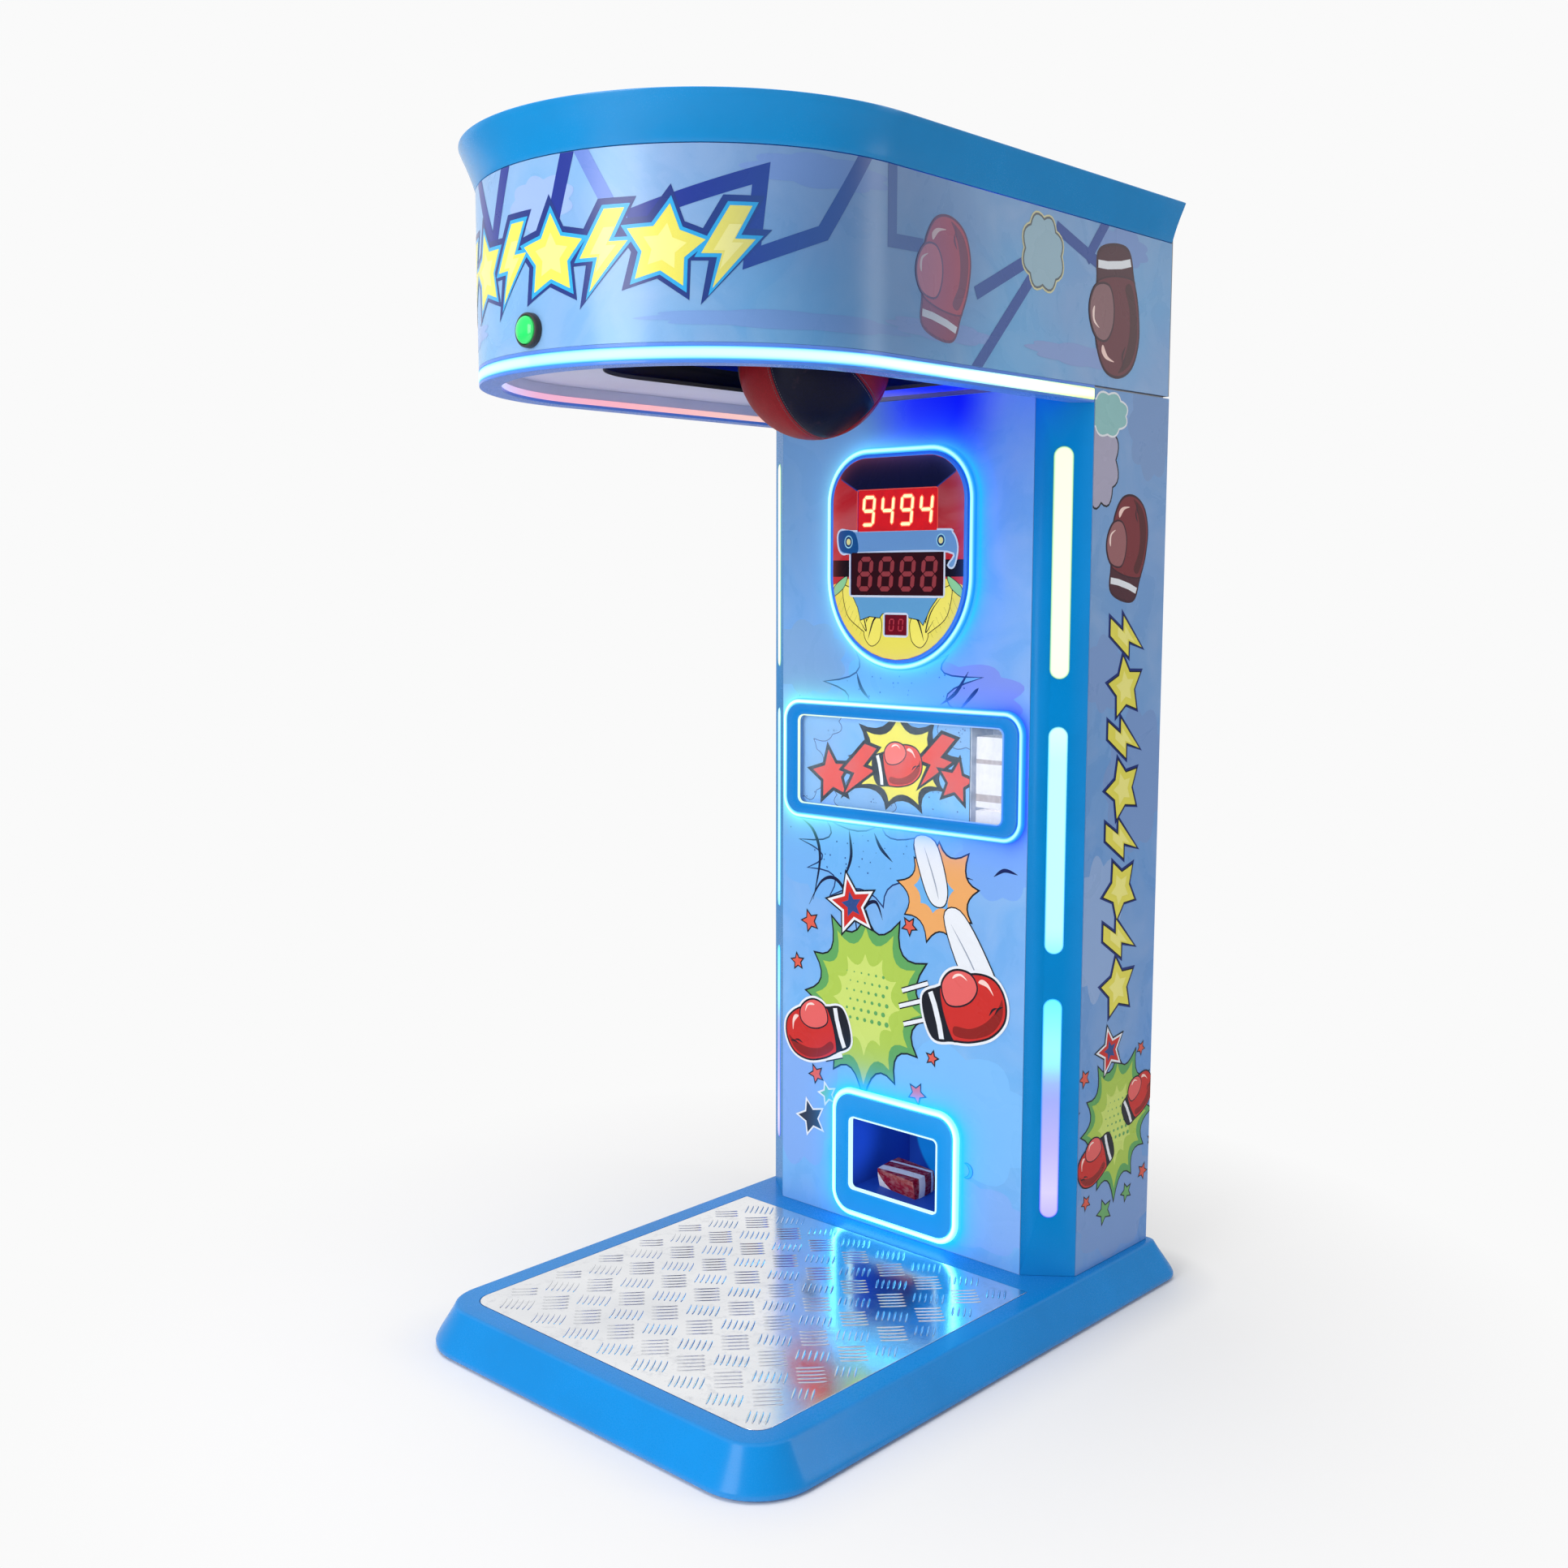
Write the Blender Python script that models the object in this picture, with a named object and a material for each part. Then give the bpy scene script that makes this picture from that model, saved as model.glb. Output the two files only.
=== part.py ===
"""Boxing punch machine for children, modelled as the pieces it comes apart into.

Metres, +Z up, the player stands at -Y. The origin is on the floor under the middle of the machine.
A plinth with a tread plate carries a slim column, the column carries an overhanging round-nosed head,
and inside the head a punch ball hangs on an arm that a magnet holds up between games.
"""

import math

import bmesh
import bpy
from mathutils import Matrix, Vector

# Driving dimensions
GAP = 0.0003
SHEET = 0.002
FRONT_SHEET = 0.004
UNDER_SHEET = 0.003

BASE_HEIGHT = 0.065
BASE_FOOT = 0.003
BASE_LIP = 0.012
BASE_SLOPE = 0.0335
BASE_HALF_WIDTH = 0.3695
BASE_FRONT = -0.488
BASE_BACK = 0.542

TREAD_HALF_WIDTH = 0.3025
TREAD_FRONT = -0.420
TREAD_BACK = 0.185
TREAD_THICKNESS = 0.003

COLUMN_HALF_WIDTH = 0.325
COLUMN_FACE_HALF_WIDTH = 0.257
COLUMN_FACE = 0.230
COLUMN_SHOULDER = 0.285
COLUMN_BACK = 0.500
COLUMN_TOP = 1.448

HEAD_RADIUS = 0.325
HEAD_ARC_Y = -0.195
HEAD_BACK = 0.4965
HEAD_BOTTOM = 1.426
WRAP_BOTTOM = 1.4513
WRAP_TOP = 1.687
CROWN_TOP = 1.745
CROWN_FLARE = 0.022
ARC_STEPS = 48
UNDERSIDE = 1.4548

LIGHT_WIDTH = 0.0295
LIGHT_SPANS = {"top": (1.013, 1.362), "middle": (0.586, 0.940), "bottom": (0.161, 0.515)}
RAISED = 0.009

WINDOW_OUTER = (0.502, 0.207, 0.037)
WINDOW_OPENING = (0.429, 0.153, 0.012)
WINDOW_HEIGHT = 0.8585
CHUTE_OUTER = (0.270, 0.225, 0.042)
CHUTE_OPENING = (0.190, 0.1285, 0.010)
CHUTE_HEIGHT = 0.1865
STRIP_WIDTH = 0.0098

DISPLAY_HALF_WIDTH = 0.152
DISPLAY_TOP = 1.376
DISPLAY_BOTTOM = 1.017
DISPLAY_TOP_RADIUS = 0.088
DIGIT_WINDOWS = {
    "score": (0.164, 0.066, 1.274),
    "best": (0.192, 0.069, 1.1725),
    "credit": (0.046, 0.033, 1.0905),
}

BALL_RADIUS = 0.115
PIVOT = Vector((0.0, -0.270, 1.680))
ARM_REST = math.radians(56.4)
ARM_TO_BALL = 0.348
SHAFT_RADIUS = 0.010

DOOR_BOTTOM = 0.330
DOOR_TOP = 1.444
DOOR_HALF_WIDTH = 0.2925
HINGE = Vector((-0.2955, 0.5060, 0.0))
LOCK = Vector((0.262, COLUMN_BACK, 0.900))

INLET_LOW, INLET_HIGH = (0.176, 0.106), (0.224, 0.134)

BUTTON = Vector((0.0, HEAD_ARC_Y - HEAD_RADIUS, 1.4765))


def clear_scene():
    for old in list(bpy.data.objects):
        bpy.data.objects.remove(old, do_unlink=True)


def finish(name, colour, roughness=0.4, metallic=0.0):
    """The piece's own material."""
    material = bpy.data.materials.new(name)
    material.use_nodes = True
    shader = material.node_tree.nodes["Principled BSDF"]
    shader.inputs["Base Color"].default_value = (*colour, 1.0)
    shader.inputs["Roughness"].default_value = roughness
    shader.inputs["Metallic"].default_value = metallic
    return material


BLUE = (0.012, 0.26, 0.62)
PRINT = (0.30, 0.50, 0.80)
STEEL = (0.55, 0.56, 0.58)
BLACK = (0.02, 0.02, 0.025)
GREY = (0.25, 0.27, 0.30)
RUBBER = (0.015, 0.015, 0.015)
LENS = (0.70, 1.0, 1.0)


def place(name, bm, material, location=(0, 0, 0), rotation=(0, 0, 0), parent=None, smooth=False):
    """Turns the mesh into a named object with its normals outward."""
    bmesh.ops.recalc_face_normals(bm, faces=bm.faces[:])
    mesh = bpy.data.meshes.new(name)
    bm.to_mesh(mesh)
    bm.free()
    mesh.materials.append(material)
    if smooth:
        mesh.shade_smooth()
        mesh.set_sharp_from_angle(angle=math.radians(30))
    piece = bpy.data.objects.new(name, mesh)
    bpy.context.scene.collection.objects.link(piece)
    piece.location = location
    piece.rotation_euler = rotation
    piece.parent = parent
    return piece


def pivot_empty(name, location, rotation=(0, 0, 0), parent=None):
    empty = bpy.data.objects.new(name, None)
    empty.empty_display_size = 0.05
    empty.location = location
    empty.rotation_euler = rotation
    empty.parent = parent
    bpy.context.scene.collection.objects.link(empty)
    return empty


LAY = {
    "X": lambda u, v, depth: Vector((depth, u, v)),
    "Y": lambda u, v, depth: Vector((u, depth, v)),
    "Z": lambda u, v, depth: Vector((u, v, depth)),
}


def prism(name, loops, axis, start, end, material, **placing):
    """The area inside the first loop and outside the others, as a solid from start to end along the axis."""
    bm = bmesh.new()
    edges = []
    for loop in loops:
        corners = [bm.verts.new(LAY[axis](u, v, 0.0)) for u, v in loop]
        edges += [bm.edges.new(pair) for pair in zip(corners, corners[1:] + corners[:1])]
    if len(loops) == 1:
        bm.faces.new(bm.verts[:])
    else:
        bmesh.ops.triangle_fill(bm, use_beauty=True, edges=edges)
    grown = bmesh.ops.extrude_face_region(bm, geom=bm.faces[:])
    moved = [part for part in grown["geom"] if isinstance(part, bmesh.types.BMVert)]
    bmesh.ops.translate(bm, verts=moved, vec=LAY[axis](0.0, 0.0, end - start))
    bmesh.ops.translate(bm, verts=bm.verts[:], vec=LAY[axis](0.0, 0.0, start))
    return place(name, bm, material, **placing)


def box(name, low, high, material, **placing):
    corners = [(low[0], low[1]), (high[0], low[1]), (high[0], high[1]), (low[0], high[1])]
    return prism(name, [corners], "Z", low[2], high[2], material, **placing)


def turned(name, profile, material, steps=32, axis="Z", **placing):
    """A round piece: (radius, height) points spun about the axis. A profile off the axis makes a ring."""
    bm = bmesh.new()
    points = [bm.verts.new((radius, 0.0, height)) for radius, height in profile]
    pairs = list(zip(points, points[1:]))
    if min(radius for radius, _ in profile) > 0.0:
        pairs.append((points[-1], points[0]))
    edges = [bm.edges.new(pair) for pair in pairs]
    bmesh.ops.spin(bm, geom=points + edges, cent=(0, 0, 0), axis=(0, 0, 1), angle=math.tau, steps=steps,
                   use_merge=True)
    bmesh.ops.remove_doubles(bm, verts=bm.verts[:], dist=0.000001)
    turn = {"X": (math.pi / 2, "Y"), "Y": (-math.pi / 2, "X"), "Z": (0.0, "Z")}
    bmesh.ops.transform(bm, matrix=Matrix.Rotation(turn[axis][0], 4, turn[axis][1]), verts=bm.verts[:])
    return place(name, bm, material, smooth=True, **placing)


def rod(name, radius, low, high, material, **making):
    """A plain solid cylinder."""
    profile = [(0.0, high), (radius, high), (radius, low), (0.0, low)]
    return turned(name, profile, material, **making)


def arc(centre, radius, start, end, steps):
    """Points from one angle to another, in degrees, both ends included."""
    angles = [math.radians(start + (end - start) * step / steps) for step in range(steps + 1)]
    return [(centre[0] + radius * math.cos(a), centre[1] + radius * math.sin(a)) for a in angles]


def rounded(width, height, radius, middle=(0.0, 0.0), steps=8):
    """A rectangle with round corners."""
    reach_u, reach_v = width / 2 - radius, height / 2 - radius
    loop = []
    for start, side_u, side_v in ((0, 1, 1), (90, -1, 1), (180, -1, -1), (270, 1, -1)):
        corner = (middle[0] + side_u * reach_u, middle[1] + side_v * reach_v)
        loop += arc(corner, radius, start, start + 90, steps)
    return loop


def stadium(width, low, high, steps=10):
    """An upright slot with full round ends."""
    radius = width / 2
    return arc((0, high - radius), radius, 0, 180, steps) + arc((0, low + radius), radius, 180, 360, steps)


def inset(size, border):
    """A rounded rectangle's width, height and radius, drawn in by a border."""
    width, height, radius = size
    return width - 2 * border, height - 2 * border, max(radius - border, 0.003)


def cut(piece, cutter, operation="DIFFERENCE"):
    """Boolean with a hidden helper shape."""
    cutter.hide_render = True
    cutter.display_type = "WIRE"
    modifier = piece.modifiers.new(operation.title(), "BOOLEAN")
    modifier.operation = operation
    modifier.solver = "EXACT"
    modifier.object = cutter


def head_path(offset, back):
    """The head's plan, drawn in by offset: right side, round the nose, left side."""
    reach = HEAD_RADIUS - offset
    return [(reach, back)] + arc((0, HEAD_ARC_Y), reach, 0, -180, ARC_STEPS) + [(-reach, back)]


def head_sweep(name, section, back, material):
    """A cross-section of (offset, height) points carried round the head's plan, with both ends closed."""
    bm = bmesh.new()
    rows = [[bm.verts.new((x, y, z)) for x, y in head_path(offset, back(offset))] for offset, z in section]
    for lower, upper in zip(rows, rows[1:] + rows[:1]):
        for step in range(len(lower) - 1):
            bm.faces.new((lower[step], lower[step + 1], upper[step + 1], upper[step]))
    bm.faces.new([row[0] for row in rows])
    bm.faces.new([row[-1] for row in reversed(rows)])
    return place(name, bm, material, smooth=True)


def square_back(_offset):
    return HEAD_BACK


def mitred_back(offset):
    """Where the overhang's underside trim meets the column's slanted corner."""
    slope = (COLUMN_SHOULDER - COLUMN_FACE) / (COLUMN_HALF_WIDTH - COLUMN_FACE_HALF_WIDTH)
    return COLUMN_SHOULDER - slope * offset - 2 * GAP


# Plinth

def plinth_outline(draw_in):
    """The plinth's plan: wide round corners in front, tight ones behind."""
    front_radius = 0.095 - draw_in
    back_radius = 0.036 - draw_in * 0.75
    side, front, back = BASE_HALF_WIDTH - draw_in, BASE_FRONT + draw_in, BASE_BACK - draw_in
    loop = arc((side - back_radius, back - back_radius), back_radius, 0, 90, 6)
    loop += arc((-side + back_radius, back - back_radius), back_radius, 90, 180, 6)
    loop += arc((-side + front_radius, front + front_radius), front_radius, 180, 270, 14)
    loop += arc((side - front_radius, front + front_radius), front_radius, 270, 360, 14)
    return loop


def tread_outline(draw_in):
    side, front, back = TREAD_HALF_WIDTH - draw_in, TREAD_FRONT + draw_in, TREAD_BACK - draw_in
    radius = 0.029 - draw_in
    loop = [(side, back), (-side, back)]
    loop += arc((-side + radius, front + radius), radius, 180, 270, 8)
    loop += arc((side - radius, front + radius), radius, 270, 360, 8)
    return loop


def build_base():
    """Sloped plinth with a sunk tread plate, standing on two rubber strips."""
    blue = finish("plinth_blue", BLUE, 0.35)
    bm = bmesh.new()
    levels = [(0.004, BASE_FOOT), (0.0, BASE_FOOT + 0.004), (0.0, BASE_LIP)]
    levels += [(BASE_SLOPE - 0.003, BASE_HEIGHT - 0.0025), (BASE_SLOPE, BASE_HEIGHT)]
    rows = [[bm.verts.new((x, y, z)) for x, y in plinth_outline(draw_in)] for draw_in, z in levels]
    for lower, upper in zip(rows, rows[1:]):
        for step, corner in enumerate(lower):
            bm.faces.new((corner, lower[step - 1], upper[step - 1], upper[step]))
    bm.faces.new(rows[0])
    bm.faces.new(rows[-1])
    plinth = place("base_plinth", bm, blue, smooth=True)
    pocket_floor = BASE_HEIGHT - TREAD_THICKNESS - GAP
    cut(plinth, prism("tread_pocket", [tread_outline(-0.0015)], "Z", pocket_floor, BASE_HEIGHT + 0.01, blue))

    aluminium = finish("tread_aluminium", (0.80, 0.80, 0.82), 0.3, 1.0)
    prism("tread_plate", [tread_outline(0.0)], "Z", BASE_HEIGHT - TREAD_THICKNESS, BASE_HEIGHT, aluminium)
    rubber = finish("foot_rubber", RUBBER, 0.9)
    spread, half, front, back = 0.27, 0.03, -0.36, 0.48
    for side, sign in (("left", -1), ("right", 1)):
        low, high = (sign * spread - half, front, 0.0), (sign * spread + half, back, BASE_FOOT - GAP)
        box("foot_strip_" + side, low, high, rubber)


# Column

def chamfer_frame():
    """Middle of a corner post's slanted face and the angle that it is turned by about the vertical."""
    run = COLUMN_HALF_WIDTH - COLUMN_FACE_HALF_WIDTH
    rise = COLUMN_SHOULDER - COLUMN_FACE
    middle = Vector((COLUMN_FACE_HALF_WIDTH + run / 2, COLUMN_FACE + rise / 2, 0.0))
    return middle, math.atan2(rise, run)


def build_corner(side, sign):
    """Slanted corner post with three slots, each with a light bar set into it."""
    blue = finish("corner_blue_" + side, BLUE, 0.35)
    thickness = 0.004
    middle, angle = chamfer_frame()
    across, along = thickness / math.cos(angle), thickness / math.sin(angle)
    plan = [
        (COLUMN_FACE_HALF_WIDTH + GAP, COLUMN_FACE),
        (COLUMN_HALF_WIDTH, COLUMN_SHOULDER - GAP),
        (COLUMN_HALF_WIDTH - along, COLUMN_SHOULDER - GAP),
        (COLUMN_FACE_HALF_WIDTH + GAP, COLUMN_FACE + across),
    ]
    plan = [(sign * x, y) for x, y in plan]
    post = prism("corner_post_" + side, [plan], "Z", BASE_HEIGHT + GAP, COLUMN_TOP, blue)
    spot = Vector((sign * middle.x, middle.y, 0.0))
    turn = (0.0, 0.0, sign * angle)
    for level, (low, high) in LIGHT_SPANS.items():
        slot = stadium(LIGHT_WIDTH + 0.0008, low - 0.0004, high + 0.0004)
        cutter = prism(f"slot_{side}_{level}", [slot], "Y", -0.02, 0.02, blue, location=spot, rotation=turn)
        cut(post, cutter)
        lens = finish(f"light_{side}_{level}", LENS, 0.3)
        bar = stadium(LIGHT_WIDTH, low, high)
        prism(f"corner_light_{side}_{level}", [bar], "Y", -0.0008, 0.009, lens, location=spot, rotation=turn)


def build_column():
    """Folded side panels, front panel with its openings, rear panel and the plate that carries the head."""
    bottom = BASE_HEIGHT + GAP
    flange = 0.0275
    for side, sign in (("left", -1), ("right", 1)):
        outer, start = COLUMN_HALF_WIDTH, COLUMN_SHOULDER + GAP
        plan = [
            (outer, start),
            (outer, COLUMN_BACK),
            (outer - flange, COLUMN_BACK),
            (outer - flange, COLUMN_BACK - SHEET),
            (outer - SHEET, COLUMN_BACK - SHEET),
            (outer - SHEET, start),
        ]
        printed = finish("side_print_" + side, PRINT, 0.3)
        prism("side_panel_" + side, [[(sign * x, y) for x, y in plan]], "Z", bottom, COLUMN_TOP, printed)
        build_corner(side, sign)

    half = COLUMN_FACE_HALF_WIDTH
    outline = [(half, bottom), (half, COLUMN_TOP), (-half, COLUMN_TOP), (-half, bottom)]
    openings = [
        rounded(*WINDOW_OPENING, middle=(0.0, WINDOW_HEIGHT), steps=4),
        rounded(*CHUTE_OPENING, middle=(0.0, CHUTE_HEIGHT), steps=4),
    ]
    printed = finish("front_print", PRINT, 0.3)
    prism("front_panel", [outline] + openings, "Y", COLUMN_FACE, COLUMN_FACE + FRONT_SHEET, printed)

    inner = COLUMN_HALF_WIDTH - SHEET - GAP
    top = DOOR_BOTTOM - 0.0015
    low, high = INLET_LOW, INLET_HIGH
    socket = [(low[0] - GAP, low[1] - GAP), (high[0] + GAP, low[1] - GAP), (high[0] + GAP, high[1] + GAP),
              (low[0] - GAP, high[1] + GAP)]
    outline = [(inner, bottom), (inner, top), (-inner, top), (-inner, bottom)]
    back = COLUMN_BACK - SHEET - GAP
    prism("rear_panel", [outline, socket], "Y", back - SHEET, back, finish("rear_grey", GREY, 0.5))

    plate = finish("top_plate_steel", STEEL, 0.4, 1.0)
    side, rear = 0.318, 0.4935
    right = [(COLUMN_FACE_HALF_WIDTH - 0.0035, COLUMN_FACE + 0.0015)]
    right += [(side, COLUMN_SHOULDER - 0.001), (side, rear)]
    plan = right + [(-x, y) for x, y in reversed(right)]
    prism("column_top_plate", [plan], "Z", COLUMN_TOP + GAP, UNDERSIDE + UNDER_SHEET, plate)


# Rear door

def build_door():
    """Service door on a full-height hinge, with a quarter-turn lock."""
    grey = finish("door_grey", (0.22, 0.24, 0.27), 0.5)
    steel = finish("hinge_steel", STEEL, 0.35, 1.0)
    barrel, pin, split = 0.0050, 0.0021, 0.0008
    knuckle = (DOOR_TOP - DOOR_BOTTOM) / 5
    cuts = [DOOR_BOTTOM + knuckle * step for step in range(6)]
    hinge = pivot_empty("door_hinge_axis", HINGE)

    leaf = box("hinge_frame_leaf", (-0.3215, COLUMN_BACK + GAP, DOOR_BOTTOM),
               (HINGE.x - split, COLUMN_BACK + 0.0023, DOOR_TOP), steel)
    face = COLUMN_BACK - HINGE.y
    edge = 0.003
    low, high = (edge, face - 0.004, DOOR_BOTTOM), (DOOR_HALF_WIDTH - HINGE.x, face, DOOR_TOP)
    door = box("rear_door", low, high, grey, parent=hinge)
    low, high = (split, face - 0.0005, DOOR_BOTTOM), (0.026, face + 0.0023, DOOR_TOP)
    strap = box("door_leaf", low, high, steel, parent=hinge)
    cut(door, strap, "UNION")
    for step, (low, high) in enumerate(zip(cuts, cuts[1:])):
        on_frame = step % 2 == 0
        owner, other = (leaf, door) if on_frame else (door, leaf)
        making = {"steps": 16, "parent": hinge}
        cut(other, rod(f"knuckle_space_{step}", barrel + 0.0006, low - 0.0005, high + 0.0005, steel, **making))
        cut(owner, rod(f"knuckle_{step}", barrel, low, high, steel, **making), "UNION")
    for piece in (leaf, door):
        cut(piece, rod(piece.name + "_bore", pin + 0.0004, 0.0, CROWN_TOP, steel, steps=12, parent=hinge))
    rod("hinge_pin", pin, DOOR_BOTTOM - 0.001, DOOR_TOP + 0.001, steel, steps=12, location=HINGE)

    lock_axis = pivot_empty("door_lock_axis", LOCK - HINGE, parent=hinge)
    cut(door, rod("lock_hole", 0.0098, -0.05, 0.05, steel, steps=24, axis="Y", parent=lock_axis))
    chrome = finish("lock_chrome", (0.75, 0.75, 0.76), 0.2, 1.0)
    body = [(0.0, 0.005), (0.011, 0.005), (0.013, GAP), (0.0094, GAP), (0.0094, -0.0043), (0.0, -0.0043)]
    turned("door_lock", body, chrome, steps=24, axis="Y", parent=lock_axis)
    tongue = [(-0.009, 0.009), (0.009, 0.009), (0.008, -0.042), (-0.008, -0.042)]
    prism("door_lock_cam", [tongue], "Y", -0.0073, -0.0046, steel, parent=lock_axis)


# Front fittings

def display_outline(draw_in):
    """A badge shape: flat top with round shoulders, and a full round bottom."""
    half = DISPLAY_HALF_WIDTH - draw_in
    shoulder = DISPLAY_TOP_RADIUS - draw_in
    top = arc((half - shoulder, DISPLAY_TOP - draw_in - shoulder), shoulder, 0, 90, 10)
    top += arc((shoulder - half, DISPLAY_TOP - draw_in - shoulder), shoulder, 90, 180, 10)
    return top + arc((0.0, DISPLAY_BOTTOM + DISPLAY_HALF_WIDTH), half, 180, 360, 24)


def build_display():
    """Light ring, housing and three digit modules in its pockets."""
    face = COLUMN_FACE - GAP
    lens = finish("display_lens", LENS, 0.3)
    prism("display_light", [display_outline(0.0), display_outline(0.011)], "Y", face - 0.008, face, lens)
    play, corner = 0.0008, 0.003
    outlines = [display_outline(0.0113)]
    for name, (width, height, middle) in DIGIT_WINDOWS.items():
        outlines.append(rounded(width + play, height + play, corner, (0.0, middle), 2))
        module = rounded(width, height, corner - play / 2, (0.0, middle), 2)
        red = finish(name + "_filter", (0.30, 0.01, 0.01), 0.15)
        prism(name + "_display", [module], "Y", face - 0.0085, face, red)
    housing = finish("display_housing", (0.08, 0.20, 0.45), 0.35)
    prism("display_housing", outlines, "Y", face - 0.0095, face, housing)


def build_window():
    """Raised window frame with its light strip, and the prize store and vending gear behind it."""
    face = COLUMN_FACE - GAP
    middle = (0.0, WINDOW_HEIGHT)
    strip = [rounded(*WINDOW_OUTER, middle), rounded(*inset(WINDOW_OUTER, STRIP_WIDTH), middle)]
    prism("window_light", strip, "Y", face - 0.007, face, finish("window_lens", LENS, 0.3))
    frame = [rounded(*inset(WINDOW_OUTER, STRIP_WIDTH + GAP), middle), rounded(*WINDOW_OPENING, middle, 4)]
    prism("window_frame", frame, "Y", face - RAISED, face, finish("window_blue", BLUE, 0.35))
    inner = COLUMN_FACE + FRONT_SHEET + GAP
    pane = rounded(0.459, 0.183, 0.01, middle, 4)
    prism("window_panel", [pane], "Y", inner, inner + 0.003, finish("window_pane", (0.75, 0.85, 0.9), 0.1))

    galvanised = finish("magazine_steel", STEEL, 0.45, 1.0)
    left, right, front, back, wall = 0.140, 0.222, inner + 0.004, inner + 0.064, 0.0015
    channel = [(left, front), (left + wall, front), (left + wall, back - wall), (right - wall, back - wall),
               (right - wall, front), (right, front), (right, back), (left, back)]
    prism("prize_magazine", [channel], "Z", 0.450, 1.000, galvanised)
    white = finish("pusher_white", (0.8, 0.8, 0.78), 0.4)
    slide = pivot_empty("vend_slide_axis", (right + 0.002, (front + back) / 2 + 0.004, 0.436))
    box("vend_pusher", (0.0, -0.020, -0.012), (0.036, 0.020, 0.012), white, parent=slide)
    low, high = (0.225, back + 0.006, 0.395), (0.285, back + 0.066, 0.470)
    box("vend_solenoid", low, high, finish("solenoid_black", BLACK, 0.4))


def build_chute():
    """Raised chute frame with its light strip round an open prize tray."""
    face = COLUMN_FACE - GAP
    middle = (0.0, CHUTE_HEIGHT)
    strip = [rounded(*CHUTE_OUTER, middle), rounded(*inset(CHUTE_OUTER, STRIP_WIDTH), middle)]
    prism("chute_light", strip, "Y", face - 0.007, face, finish("chute_lens", LENS, 0.3))
    frame = [rounded(*inset(CHUTE_OUTER, STRIP_WIDTH + GAP), middle), rounded(*CHUTE_OPENING, middle, 4)]
    prism("chute_frame", frame, "Y", face - RAISED, face, finish("chute_blue", BLUE, 0.35))

    width, height, _ = CHUTE_OPENING
    wall, depth = 0.003, 0.160
    half, low, high = width / 2 + wall, CHUTE_HEIGHT - height / 2 - wall, CHUTE_HEIGHT + height / 2 + wall
    start = COLUMN_FACE + FRONT_SHEET + GAP
    dark = finish("tray_blue", (0.01, 0.04, 0.16), 0.5)
    rear, chute_top = start + depth, high + 0.06
    profile = [(start, low), (rear, low), (rear, chute_top)]
    profile += [(rear - wall, chute_top), (rear - wall, low + wall), (start, low + wall)]
    tray = prism("prize_tray", [profile], "X", -half, half, dark)
    for name, left in (("left", -half), ("right", half - wall)):
        side = box("tray_side_" + name, (left, start, low), (left + wall, rear, high), dark)
        cut(tray, side, "UNION")
    roof = box("tray_roof", (-half, start, high - wall), (half, start + 0.085, high), dark)
    cut(tray, roof, "UNION")


def build_electrics():
    """Mains inlet, power supply and control board in the bottom of the column."""
    black = finish("inlet_black", BLACK, 0.4)
    back = COLUMN_BACK - 2 * SHEET - 2 * GAP
    low, high = (INLET_LOW[0], back - 0.022, INLET_LOW[1]), (INLET_HIGH[0], COLUMN_BACK - 0.0012, INLET_HIGH[1])
    box("power_inlet", low, high, black)
    silver = finish("supply_silver", (0.6, 0.6, 0.6), 0.4, 1.0)
    box("power_supply", (-0.285, 0.330, BASE_HEIGHT + GAP), (-0.135, 0.440, BASE_HEIGHT + 0.050), silver)
    green = finish("board_green", (0.02, 0.2, 0.08), 0.5)
    box("control_board", (-0.3215, 0.320, 0.600), (-0.3060, 0.470, 0.820), green)


# Head

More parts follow.
